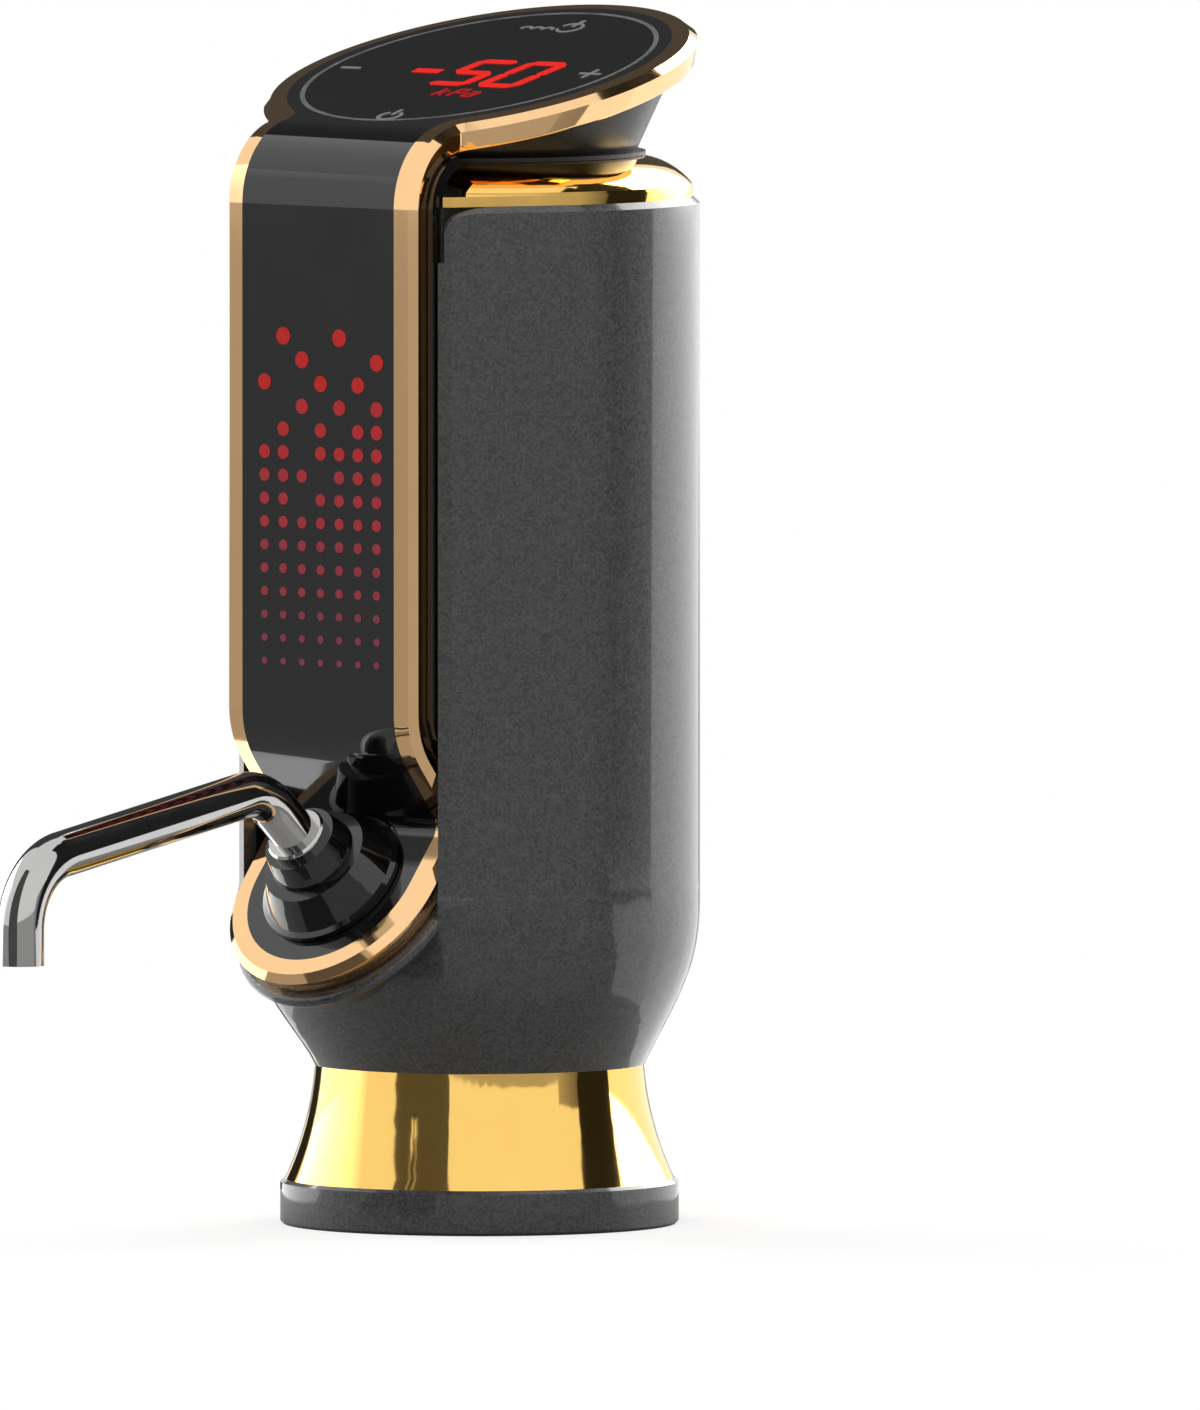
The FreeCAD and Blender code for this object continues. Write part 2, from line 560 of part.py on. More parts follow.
def screws(label, places, head_level, tip_level):
    """Group of equal pan-head screws along Z, each head outside its level."""
    low, high = size(head_level), size(tip_level)
    way = UP if high > low else UP * -1
    group = []
    for across, back in places:
        foot = Vector(size(across), size(back), low)
        head = Part.makeCylinder(size("screw_head_radius"), size("screw_head"), foot, way * -1)
        shank = Part.makeCylinder(size("screw_radius"), abs(high - low), foot, way)
        recess = Part.makeCylinder(size("screw_recess"), size("screw_head") / 2,
                                   foot - way * (size("screw_head") / 2), way * -1)
        group.append(head.fuse(shank).cut(recess))
    return solid_feature(label, Part.makeCompound(group))


def around(reach, count, first=0, back="0"):
    """Places evenly spaced on a circle about an upright axis, as pairs of formulas; first is
    the first one's angle in degrees."""
    places = []
    for index in range(count):
        angle = first + 360 / count * index
        places.append((f"({reach}) * cos({angle})", f"({reach}) * sin({angle}) + {back}"))
    return places


def circles(places, radius):
    """Drawing of equal circles for a pad or a pocket."""
    def draw(sketch):
        for across, up in places:
            draw_circle(sketch, across, up, radius)
    return draw


AXIS = [("0", "0")]
SKIRT_SCREWS = around("skirt_screw_reach", 4, 45)
SUPPORT_SCREWS = around("support_screw_reach", 4, 45)
HEAD_SCREWS = around("head_screw_reach", 3, 90)
MOTOR_SCREWS = around("motor_screw_reach", 2)
MOTOR_SCREWS_PLACED = around("motor_screw_reach", 2, 0, "-pump_forward")


def ring_corners(inner, outer, low, high):
    return [(inner, low), (outer, low), (outer, high), (inner, high)]


# ---------------------------------------------------------------- base, skirt and stopper
def make_base_ring():
    return turned("base_ring", [
        ("neck_radius", "0"),
        ("base_radius - base_edge", "0"),
        ("base_radius", "base_edge"),
        ("base_radius", "base_height - base_edge"),
        ("base_radius - base_edge", "base_height"),
        ("neck_radius", "base_height"),
    ])


def make_skirt():
    """Concave flare with an inner flange that is screwed to the shell's floor."""
    body = turned("gold_skirt", [
        ("skirt_foot_radius", "base_height", "-skirt_flare"),
        ("skirt_top_radius", "shell_floor"),
        ("stopper_flange_radius + stopper_gap", "shell_floor"),
        ("stopper_flange_radius + stopper_gap", "shell_floor - skirt_wall"),
        ("skirt_top_radius - skirt_wall", "shell_floor - skirt_wall", "skirt_flare + skirt_wall"),
        ("skirt_foot_radius - skirt_wall", "base_height"),
    ])
    pocket(body, "skirt_screw_holes", "XY_Plane", circles(SKIRT_SCREWS, "screw_radius"))
    screws("skirt_screws", SKIRT_SCREWS, "floor_top", "shell_floor - skirt_wall + tip_gap")
    return body


def make_stopper_core():
    """Flanged stem with one passage for wine and one for air, each with a barb on top."""
    body = new_body("stopper_core")
    revolve(body, [
        ("0", "stopper_clearance + stopper_tip"),
        ("stopper_stem_radius", "stopper_clearance + stopper_tip"),
        ("stopper_stem_radius", "flange_foot"),
        ("stopper_flange_radius", "flange_foot"),
        ("stopper_flange_radius", "shell_floor"),
        ("stopper_stem_radius", "shell_floor"),
        ("stopper_stem_radius", "floor_top"),
        ("0", "floor_top"),
    ])

    barbs = around("barb_spacing / 2", 2, 90)
    pad(body, "stopper_barbs", "XY_Plane", circles(barbs, "hose_barb_radius"), "barb_length",
        "floor_top")
    pocket(body, "stopper_passages", "XY_Plane", circles(barbs, "hose_bore"))
    return body


def make_stopper():
    """Silicone plug with three sealing ribs, tapered for the bottle's mouth."""
    corners = [("stopper_stem_radius", "stopper_clearance"),
               ("stopper_radius - stopper_rib - stopper_lead", "stopper_clearance")]
    ribs = int(size("stopper_ribs"))
    for rib in range(ribs):
        share = (rib + FIRST_RIB) / ribs
        level = f"stopper_clearance + (flange_foot - stopper_clearance) * {share}"
        corners.append(("stopper_radius - stopper_rib", level))
        corners.append(("stopper_radius", f"{level} + stopper_rib"))
        corners.append(("stopper_radius", f"{level} + 2 * stopper_rib"))
        corners.append(("stopper_radius - stopper_rib", f"{level} + 3 * stopper_rib"))
    corners.append(("stopper_radius - stopper_rib", "flange_foot"))
    corners.append(("stopper_stem_radius", "flange_foot"))
    return turned("stopper_seal", corners)


# ---------------------------------------------------------------- body shell
def shell_section(level, radius, spread, inset=0.0):
    """Outline of the shell at one level: a round back, two straight cheeks that run forward
    to the front corners, two bevels and a shallow front arc. spread runs from 0, where the
    outline is a circle, to 1, where the corners stand fully forward; inset is the wall."""
    reach = radius - inset

    def corner(half_width, forward):
        full = Vector(half_width, -forward, 0)
        on_circle = Vector(full).normalize() * radius
        point = on_circle + (full - on_circle) * spread
        return point - Vector(point).normalize() * inset

    cheek = corner(size("cheek_half_width"), size("cheek_forward"))
    lip = corner(size("lip_half_width"), size("lip_forward"))
    turn = math.acos(min(1.0, reach / cheek.Length))
    heading = math.atan2(cheek.y, cheek.x) + turn
    flank = Vector(reach * math.cos(heading), reach * math.sin(heading), 0)
    front = Vector(0, -(radius + size("front_swell") * spread) + inset, 0)

    def mirrored(point):
        return Vector(-point.x, point.y, 0)

    edges = [
        Part.Arc(flank, Vector(0, reach, 0), mirrored(flank)).toShape(),
        Part.LineSegment(mirrored(flank), mirrored(cheek)).toShape(),
        Part.LineSegment(mirrored(cheek), mirrored(lip)).toShape(),
        Part.Arc(mirrored(lip), front, lip).toShape(),
        Part.LineSegment(lip, cheek).toShape(),
        Part.LineSegment(cheek, flank).toShape(),
    ]
    wire = Part.Wire(edges)
    wire.translate(Vector(0, 0, level))
    return wire


def shoulder_radius(height):
    """Radius of the shell's round back at a height above the shell's floor: a cone, then an
    arc that ends upright."""
    slope = math.radians(size("shoulder_cone_angle"))
    cone = size("shoulder_cone_height")
    start = size("shell_floor_radius")
    if height <= cone:
        return start + height * math.tan(slope)
    knee = start + cone * math.tan(slope)
    span = size("shoulder_height") - cone
    share = min(1.0, (height - cone) / span)
    rise = size("shell_radius") - knee
    ease = 2 * share - share * share
    return knee + rise * ease


def shell_form(inset=0.0):
    """Lofted shoulder, blending a round floor into the cheeked section, and an upright body."""
    floor = size("shell_floor")
    shoulder = size("shoulder_height")
    cone = size("shoulder_cone_height")
    last = shoulder + size("shoulder_overrun")
    steps = [0.0, cone / 2] + [cone + (shoulder - cone) * share for share in SHOULDER_SHARES]
    first_spread = size("floor_spread")
    sections = []
    for height in steps + [last]:
        rise = min(1.0, height / shoulder) ** size("spread_power")
        spread = first_spread + (1 - first_spread) * rise
        sections.append(shell_section(floor + height, shoulder_radius(height), spread, inset))
    shoulder_part = Part.makeLoft(sections, True, False)
    upright = Part.Face(sections[-1]).extrude(UP * (size("shell_height") - last))
    return shoulder_part.fuse(upright)


def seat_frame():
    """Centre of the spout seat, its normal and the direction down its slope."""
    tilt = math.radians(size("seat_tilt"))
    centre = Vector(0, -size("seat_forward"), size("seat_height"))
    normal = Vector(0, -math.sin(tilt), math.cos(tilt))
    down = Vector(0, -math.cos(tilt), -math.sin(tilt))
    return centre, normal, down


def seat_outline(half_width, above, depth):
    """Round-ended outline on the seat's plane, sunk by depth."""
    centre, normal, down = seat_frame()
    middle = centre - normal * depth
    across = RIGHT * half_width
    top = down * -above
    edges = [
        Part.LineSegment(middle + across, middle + across + top).toShape(),
        Part.LineSegment(middle + across + top, middle - across + top).toShape(),
        Part.LineSegment(middle - across + top, middle - across).toShape(),
        Part.Arc(middle - across, middle + down * half_width, middle + across).toShape(),
    ]
    return Part.Wire(edges)


def ribbon_geometry():
    """Corner points and run lengths of the ribbon's side profile, from seat to head."""
    sweep = math.radians(size("ribbon_sweep_angle"))
    tilt = math.radians(size("head_tilt"))
    centre, _, down = seat_frame()
    climb = down * -1
    sweep_radius = size("ribbon_sweep_radius")
    sweep_end = Vector(0, -size("ribbon_forward") + sweep_radius * (1 - math.cos(sweep)),
                       size("ribbon_sweep_height") - sweep_radius * math.sin(sweep))
    inward = Vector(0, math.sin(sweep), -math.cos(sweep))
    # the seat's line and the sweep's line meet in the valley's sharp corner
    gap = sweep_end - centre
    scale = climb.y * -inward.z + climb.z * inward.y
    seat_run = (gap.y * -inward.z + gap.z * inward.y) / scale
    valley = centre + climb * seat_run
    valley_turn = math.pi - math.acos(climb.dot(inward))
    tangent = size("valley_radius") * math.tan(valley_turn / 2)
    bend_turn = math.pi / 2 - tilt
    bend_tangent = size("ribbon_bend") * math.tan(bend_turn / 2)
    corner_height = size("head_height") - size("ribbon_forward") * math.tan(tilt)
    return {
        "seat_run": seat_run - tangent,
        "valley_turn": math.degrees(valley_turn),
        "slope_run": (valley - sweep_end).Length - tangent,
        "sweep_turn": math.degrees(sweep),
        "upright_run": corner_height - bend_tangent - size("ribbon_sweep_height"),
        "bend_turn": math.degrees(bend_turn),
        "bend_end": size("ribbon_forward") / math.cos(tilt) - bend_tangent,
    }


def ribbon_steps():
    """Steps that carry a section from the seat's centre up the ribbon to the head's plane."""
    track = ribbon_geometry()
    centre, normal, down = seat_frame()
    here = centre
    heading = down * -1
    outward = normal
    steps = []

    def run(length):
        nonlocal here
        steps.append(("run", heading * length))
        here = here + heading * length

    def turn(radius, degrees):
        nonlocal here, heading, outward
        middle = here + outward * radius
        steps.append(("turn", middle, RIGHT, degrees))
        swing = FreeCAD.Rotation(RIGHT, degrees)
        here = middle + swing.multVec(here - middle)
        heading = swing.multVec(heading)
        outward = swing.multVec(outward)

    run(track["seat_run"])
    turn(size("valley_radius"), track["valley_turn"])
    run(track["slope_run"])
    turn(-size("ribbon_sweep_radius"), -track["sweep_turn"])
    run(track["upright_run"])
    turn(-size("ribbon_bend"), -track["bend_turn"])
    return steps, here, heading, outward


def carried(face, steps):
    """Sweep a face along straight runs and turns; returns the solids and the moved face."""
    solids = []
    for step in steps:
        if step[0] == "run":
            solids.append(face.extrude(step[1]))
            face = face.translated(step[1])
        else:
            _, middle, axis, degrees = step
            solids.append(face.revolve(middle, axis, degrees))
            face = face.rotated(middle, axis, degrees)
    return solids, face


def steps_through(points, bends):
    """Runs along a line of points, with an arc of the given radius at each inner point."""
    steps = []
    here = points[0]
    for index, radius in enumerate(bends, start=1):
        before = Vector(points[index] - points[index - 1]).normalize()
        after = Vector(points[index + 1] - points[index]).normalize()
        turn = before.getAngle(after)
        axis = before.cross(after).normalize()
        stop = points[index] - before * (radius * math.tan(turn / 2))
        middle = stop + axis.cross(before) * radius
        steps.append(("run", stop - here))
        steps.append(("turn", middle, axis, math.degrees(turn)))
        here = points[index] + after * (radius * math.tan(turn / 2))
    steps.append(("run", points[-1] - here))
    return steps


def hollow_run(points, bends, outside, inside):
    """Tube with two named radii that follows a line of points."""
    rods = []
    for radius in (outside, inside):
        edge = Part.makeCircle(size(radius), points[0], points[1] - points[0])
        solids, _ = carried(Part.Face(Part.Wire(edge)), steps_through(points, bends))
        rods.append(solids[0].multiFuse(solids[1:]) if len(solids) > 1 else solids[0])
    return rods[0].cut(rods[1]).removeSplitter()


def section_face(points, start, across, outward):
    """Face with corners (sideways, depth) set in the plane across a track."""
    corners = [start + across * side - outward * depth for side, depth in points]
    return Part.Face(Part.makePolygon(corners + corners[:1]))


def strip(half_width, top_depth, bottom_depth):
    """Band of even thickness that follows the ribbon; one solid for each run and turn, from
    the seat to the head."""
    centre, normal, _ = seat_frame()
    corners = [(-half_width, top_depth), (half_width, top_depth),
               (half_width, bottom_depth), (-half_width, bottom_depth)]
    face = section_face(corners, centre, RIGHT, normal)
    solids, _ = carried(face, ribbon_steps()[0])
    return solids


def recess_side_profile():
    """Side outline of the recess, drawn in the YZ plane: along the back of the carrier, down
    the face that carries the trim at the seat, and closed far in front."""
    deep = size("trim_depth + carrier_thickness")
    centre, normal, down = seat_frame()
    track = ribbon_geometry()
    climb = down * -1
    plane_start = centre - normal * size("trim_depth") + down * FAR
    plane_end = centre - normal * size("trim_depth") + climb * track["seat_run"]
    valley_start = centre - normal * deep + climb * track["seat_run"]
    swing_centre = valley_start + normal * (size("valley_radius") + deep)
    half_swing = FreeCAD.Rotation(RIGHT, track["valley_turn"] / 2)
    full_swing = FreeCAD.Rotation(RIGHT, track["valley_turn"])
    valley_middle = swing_centre + half_swing.multVec(valley_start - swing_centre)
    valley_end = swing_centre + full_swing.multVec(valley_start - swing_centre)
    heading = full_swing.multVec(climb)
    outward = full_swing.multVec(normal)
    slope_end = valley_end + heading * track["slope_run"]
    bend_centre = slope_end - outward * (size("ribbon_sweep_radius") - deep)
    half_back = FreeCAD.Rotation(RIGHT, -track["sweep_turn"] / 2)
    full_back = FreeCAD.Rotation(RIGHT, -track["sweep_turn"])
    bend_middle = bend_centre + half_back.multVec(slope_end - bend_centre)
    bend_end = bend_centre + full_back.multVec(slope_end - bend_centre)
    top = Vector(0, bend_end.y, size("shell_top") + FAR)
    far_top = Vector(0, -2 * FAR, size("shell_top") + FAR)
    far_low = Vector(0, -2 * FAR, plane_start.z)
    edges = [
        Part.LineSegment(plane_start, plane_end).toShape(),
        Part.LineSegment(plane_end, valley_start).toShape(),
        Part.Arc(valley_start, valley_middle, valley_end).toShape(),
        Part.LineSegment(valley_end, slope_end).toShape(),
        Part.Arc(slope_end, bend_middle, bend_end).toShape(),
        Part.LineSegment(bend_end, top).toShape(),
        Part.LineSegment(top, far_top).toShape(),
        Part.LineSegment(far_top, far_low).toShape(),
        Part.LineSegment(far_low, plane_start).toShape(),
    ]
    return Part.Wire(edges)


def recess_cutter(half_width):
    wire = recess_side_profile()
    wire.translate(RIGHT * -half_width)
    return Part.Face(wire).extrude(RIGHT * (2 * half_width))


def corner_rounder(half_width, top):
    """Two pieces that round the recess's upper corners outwards where it meets a rim."""
    radius = size("recess_corner")
    bulge = radius * (1 - math.sqrt(0.5))
    solids = []
    for side in (-1, 1):
        edge = Vector(side * half_width, 0, top)
        low = edge - UP * radius
        out = edge + RIGHT * (side * radius)
        above = UP * OVERRUN
        block = Part.Wire([
            Part.LineSegment(edge + above, low).toShape(),
            Part.Arc(low, edge + RIGHT * (side * bulge) - UP * bulge, out).toShape(),
            Part.LineSegment(out, out + above).toShape(),
            Part.LineSegment(out + above, edge + above).toShape(),
        ])
        block.translate(Vector(0, -FAR, 0))
        solids.append(Part.Face(block).extrude(Vector(0, FAR - size("corner_back"), 0)))
    return solids


def rim_chips():
    """What the bevel takes off the shell's rim and off the recess's rounded corners."""
    top = size("shell_top")
    start = top - 2 * size("recess_corner")
    outline = shell_section(start, size("shell_radius"), 1.0)
    side = outline.extrude(UP * (top - start))
    rim = Part.Face(outline).extrude(UP * (top - start)).cut(recess_cutter(size("lip_half_width")))
    for rounder in corner_rounder(size("lip_half_width"), top):
        rim = rim.cut(rounder)
    rim = rim.removeSplitter()
    edges = []
    for edge in rim.Edges:
        middle = edge.valueAt((edge.FirstParameter + edge.LastParameter) / 2)
        on_side = side.distToShape(Part.Vertex(middle))[0] < 1e-6
        if on_side and middle.z > top - size("recess_corner"):
            edges.append(edge)
    return rim.cut(rim.makeChamfer(size("rim_bevel"), edges))


def seat_cylinder(radius, top_depth, bottom_depth):
    """Cylinder on the spout's axis between two depths below the seat."""
    centre, normal, _ = seat_frame()
    return Part.makeCylinder(radius, bottom_depth - top_depth, centre - normal * top_depth,
                             normal * -1)


def pod_form():
    """Pod under the spout seat: a beaded lip over a hollowed side, round below the seat's
    centre and straight above it."""
    centre, normal, down = seat_frame()
    lip = size("ribbon_half_width + trim_reach + pod_lip")
    bead = size("pod_bead")
    top = size("trim_depth")
    foot = top + size("pod_depth")
    waist = lip - size("pod_waist")
    under = top + 2 * bead

    def at(side, depth):
        return centre + RIGHT * side - normal * depth

    start, end = at(lip - bead, under), at(waist, foot)
    inward = (end - start).cross(down).normalize()
    edges = [
        Part.LineSegment(at(0, top), at(lip - bead, top)).toShape(),
        Part.Arc(at(lip - bead, top), at(lip, top + bead), start).toShape(),
        Part.Arc(start, (start + end) / 2 + inward * size("pod_hollow"), end).toShape(),
        Part.LineSegment(end, at(0, foot)).toShape(),
        Part.LineSegment(at(0, foot), at(0, top)).toShape(),
    ]
    section = Part.Face(Part.Wire(edges))
    round_part = section.revolve(centre, normal, -180)
    straight = section.extrude(down * -size("pod_rise"))
    return round_part.fuse(straight).fuse(straight.mirror(Vector(0, 0, 0), RIGHT))


def make_shell():
    top_depth = size("trim_depth")
    outer = shell_form()
    pod = pod_form()
    inner = shell_form(size("shell_wall"))
    cavity = inner.cut(rod("2 * shell_radius", "0", "floor_top"))
    outline = seat_outline(size("lip_half_width") + OVERRUN, ribbon_geometry()["seat_run"],
                           top_depth)
    plate = Part.Face(outline).extrude(seat_frame()[1] * -size("pod_plate"))
    plate = plate.common(outer.fuse(pod))
    shell = outer.fuse(pod).cut(cavity).fuse(plate)
    shell = shell.cut(recess_cutter(size("lip_half_width")))
    for rounder in corner_rounder(size("lip_half_width"), size("shell_top")):
        shell = shell.cut(rounder)
    shell = shell.cut(rim_chips())
    shell = drill(shell, "screw_radius + screw_gap", "shell_floor", "floor_top", SKIRT_SCREWS)
    shell = shell.cut(seat_cylinder(size("fitting_radius + push_gap"), 0, size("fitting_length")))
    shell = shell.cut(seat_cylinder(size("fitting_nut + works_clearance"),
                                    size("trim_depth + pod_plate"), size("fitting_length")))
    shell = drill(shell, "stopper_stem_radius + push_gap", "shell_floor", "floor_top", AXIS)
    gap = size("socket_gap")
    half_width = size("socket_half_width") + gap
    half_height = size("socket_half_height") + gap
    slot = Part.makeBox(2 * half_width, size("shell_radius"), 2 * half_height,
                        Vector(-half_width, size("shell_radius") / 2,
                               size("socket_height") - half_height))
    slot = slot.makeFillet(half_height * 0.95, [edge for edge in slot.Edges
                                                if abs(edge.tangentAt(0).y) > 0.9])
    shell = shell.cut(slot)
    return solid_feature("outer_shell", shell.removeSplitter())


# ---------------------------------------------------------------- head
def head_frame():
    tilt = math.radians(size("head_tilt"))
    centre = Vector(0, 0, size("head_height"))
    normal = Vector(0, -math.sin(tilt), math.cos(tilt))
    back = Vector(0, math.cos(tilt), math.sin(tilt))
    return centre, normal, back


def neck_fillet_geometry():
    """Where the ribbon's edge leaves its line and where the fillet meets the head's circle,
    as distances on the head's plane: forward from its centre, and the turn of each arc."""
    radius = size("head_radius")
    half = size("ribbon_half_width")
    fillet = size("neck_fillet")
    forward = math.sqrt((radius + fillet) ** 2 - (half + fillet) ** 2)
    turn = math.degrees(math.atan2(forward, half + fillet))
    return forward, turn


def trim_section():
    """Half-hidden section of the trim: a front facet, a middle facet and a side facet."""
    corners = [("0", "0"),
               ("trim_face", "trim_drop"),
               ("trim_reach", "trim_drop + trim_bevel"),
               ("trim_reach - trim_lean", "trim_depth - trim_foot"),
               ("trim_reach - trim_lean - trim_foot", "trim_depth"),
               ("0", "trim_depth")]
    return [(size(side), size(depth)) for side, depth in corners]


def make_trim():
    """Faceted trim that runs round the spout seat, up both edges of the ribbon, over the bend
    and round the head, as one closed loop."""
    centre, normal, down = seat_frame()
    half = size("ribbon_half_width")
    tip = section_face([(half + side, depth) for side, depth in trim_section()],
                       centre, down, normal)
    first = [("turn", centre, normal, 90)]
    steps, here, heading, _ = ribbon_steps()
    forward, turn = neck_fillet_geometry()
    middle, head_normal, back = head_frame()
    here = here + RIGHT * half
    straight = (middle - here).dot(back) - forward
    fillet_centre = here + heading * straight + RIGHT * size("neck_fillet")
    last = [("run", heading * straight),
            ("turn", fillet_centre, head_normal, -turn),
            ("turn", middle, head_normal, 90 + turn)]
    solids, _ = carried(tip, first + steps + last)
    one_side = solids[0].multiFuse(solids[1:])
    other_side = one_side.mirror(Vector(0, 0, 0), RIGHT)
    return solid_feature("gold_trim", one_side.fuse(other_side).removeSplitter())


def head_plate_outline():
    """Outline of the head's plate in its plane, with the two fillets into the ribbon."""
    middle, _, back = head_frame()
    radius = size("head_radius")
    half = size("ribbon_half_width")
    fillet = size("neck_fillet")
    forward, turn = neck_fillet_geometry()
    end = ribbon_geometry()["bend_end"]

    def at(across, ahead):
        return middle + RIGHT * across - back * ahead

    share = radius / (radius + fillet)
    meet = ((half + fillet) * share, forward * share)
    low = math.radians(turn / 2)
    mid = (half + fillet - fillet * math.cos(low), forward - fillet * math.sin(low))
    edges = []
    for side in (1, -1):
        edges.append(Part.LineSegment(at(side * half, end), at(side * half, forward)).toShape())
        edges.append(Part.Arc(at(side * half, forward), at(side * mid[0], mid[1]),
                              at(side * meet[0], meet[1])).toShape())
    edges.append(Part.Arc(at(meet[0], meet[1]), at(0, -radius), at(-meet[0], meet[1])).toShape())
    edges.append(Part.LineSegment(at(half, end), at(-half, end)).toShape())
    return Part.Wire(Part.__sortEdges__(edges))


def make_front_panel():
    """Glossy panel in one piece: spout seat, ribbon, bend and head plate."""
    half = size("ribbon_half_width")
    thick = size("ribbon_thickness")
    normal = seat_frame()[1]
    middle, head_normal, _ = head_frame()
    solids = strip(half, 0, thick)
    seat_end = Part.Face(seat_outline(half, OVERLAP, 0)).extrude(normal * -thick)
    plate = Part.Face(head_plate_outline()).extrude(head_normal * -thick)
    panel = solids[0].multiFuse(solids[1:] + [seat_end, plate])
    window = Part.makeCylinder(size("window_radius"), size("window_thickness"), middle,
                               head_normal * -1)
    light = Part.makeCylinder(size("window_radius - window_shelf"), thick + OVERRUN, middle,
                              head_normal * -1)
    panel = panel.cut(window).cut(light)
    panel = panel.cut(seat_cylinder(size("spigot_radius + spigot_room"), -OVERRUN,
                                    thick + OVERRUN))
    spot_face = seat_cylinder(size("collar_radius + collar_clearance"),
                              -size("collar_rim + 2 * collar_clearance"), 0)
    panel = panel.cut(spot_face)
    return solid_feature("front_panel", panel.removeSplitter())


def make_panel_carrier():
    """Inner strip that the panel and the trim are glued to; it closes the recess's back from
    the valley upwards."""
    _, *solids = strip(size("carrier_half_width"), size("trim_depth"),
                       size("trim_depth + carrier_thickness"))
    return solid_feature("panel_carrier", solids[0].multiFuse(solids[1:]).removeSplitter())


def head_cylinder(radius, top_depth, bottom_depth):
    middle, head_normal, _ = head_frame()
    return Part.makeCylinder(radius, bottom_depth - top_depth,
                             middle - head_normal * top_depth, head_normal * -1)


def make_display():
    ring = size("window_ring")
    radius = size("window_radius")
    glass_depth = size("window_thickness")
    glass = head_cylinder(radius - ring, 0, glass_depth)
    bezel = head_cylinder(radius, 0, glass_depth).cut(glass)
    solid_feature("display_glass", glass)
    solid_feature("window_bezel", bezel)


def make_head_neck():
    """Hollow cone that carries the tilted head on the cap."""
    low = size("gasket_top")
    rise = size("head_height") + size("head_radius") * math.sin(math.radians(size("head_tilt"))) - low
    spread = rise * math.tan(math.radians(size("head_neck_angle")))
    foot = size("head_foot_radius")
    wall = size("head_neck_wall")
    outer = Part.makeCone(foot, foot + spread, rise, Vector(0, 0, low))
    inner = Part.makeCone(foot - wall, foot - wall + spread, rise, Vector(0, 0, low + wall))
    neck = outer.cut(inner)
    floor = "gasket_top + head_neck_wall"
    neck = drill(neck, "cable_hole_radius", "gasket_top", floor, AXIS)
    neck = drill(neck, "screw_radius", "gasket_top", floor, HEAD_SCREWS)
    trim_foot = size("trim_depth")
    rim = head_cylinder(FAR, -FAR, trim_foot)
    rim = rim.cut(head_cylinder(size("head_radius - push_gap"), -FAR, trim_foot + OVERRUN))
    above = head_cylinder(size("head_radius"), -FAR, size("ribbon_thickness"))
    board_pocket = head_cylinder(size("touch_board_radius + works_clearance"), -OVERRUN,
                                 size("window_thickness + board_thickness"))
    neck = neck.cut(rim).cut(above).cut(board_pocket)
    return solid_feature("head_neck", neck)


def recess_notch(sketch):
    """Rectangle that clears the ribbon in front of the cap."""
    draw_outline(sketch, [("-lip_half_width", "-2 * shell_radius"),
                          ("lip_half_width", "-2 * shell_radius"),
                          ("lip_half_width", "-cap_front"),
                          ("-lip_half_width", "-cap_front")])


def make_cap():
    """Domed gold cap between the shell and the head, open to the recess in front, with its
    gasket and the screws that hold the head."""
    body = turned("gold_cap", [
        ("cable_hole_radius", "cap_top - cap_wall"),
        ("cap_top_radius - cap_wall / 2", "cap_top - cap_wall"),
        ("cap_radius - cap_skirt", "cap_foot + 2 * cap_edge"),
        ("cap_radius - cap_skirt", "cap_foot"),
        ("cap_radius", "cap_foot"),
        ("cap_radius", "cap_foot + cap_edge", "cap_dome_radius"),
        ("cap_top_radius", "cap_top"),
        ("cable_hole_radius", "cap_top"),
    ])
    pocket(body, "cap_front_cut", "XY_Plane", recess_notch)
    holes = circles(HEAD_SCREWS, "screw_radius + screw_gap")
    pocket(body, "cap_screw_holes", "XY_Plane", holes)
    screws("head_screws", HEAD_SCREWS, "cap_top - cap_wall",
           "gasket_top + head_neck_wall - tip_gap")
    gasket = turned("head_gasket", ring_corners("cable_hole_radius", "gasket_radius", "cap_top",
                                                "gasket_top"))
    pocket(gasket, "gasket_screw_holes", "XY_Plane", holes)
    return body


def make_rim_ring():
    """Gold ring on the shell's rim; it follows the shell's outline and is open in front."""
    level = size("shell_top")
    inset = size("rim_ring_inset")
    outside = shell_section(level, size("shell_radius"), 1.0, inset)
    inside = shell_section(level, size("shell_radius"), 1.0, inset + size("rim_ring_width"))
    rise = UP * size("rim_ring_height")
    ring = Part.Face(outside).extrude(rise).cut(Part.Face(inside).extrude(rise))
    half = size("lip_half_width")
    notch = Part.makeBox(2 * half, FAR, size("rim_ring_height"),
                         Vector(-half, -size("cap_front") - FAR, level))
    return solid_feature("rim_ring", ring.cut(notch).removeSplitter())


def make_cap_support():
    """Ring between the chassis's upper plate and the cap."""
    body = turned("cap_support", ring_corners(
        "cap_support_radius - cap_support_wall", "cap_support_radius",
        "chassis_ring_top", "cap_top - cap_wall"))
    pocket(body, "support_screw_holes", "XY_Plane", circles(SUPPORT_SCREWS, "screw_radius"),
           "support_screw_grip", "chassis_ring_top")
    screws("support_screws", SUPPORT_SCREWS, "chassis_ring_height",
           "chassis_ring_top + support_screw_grip - tip_gap")
    return body


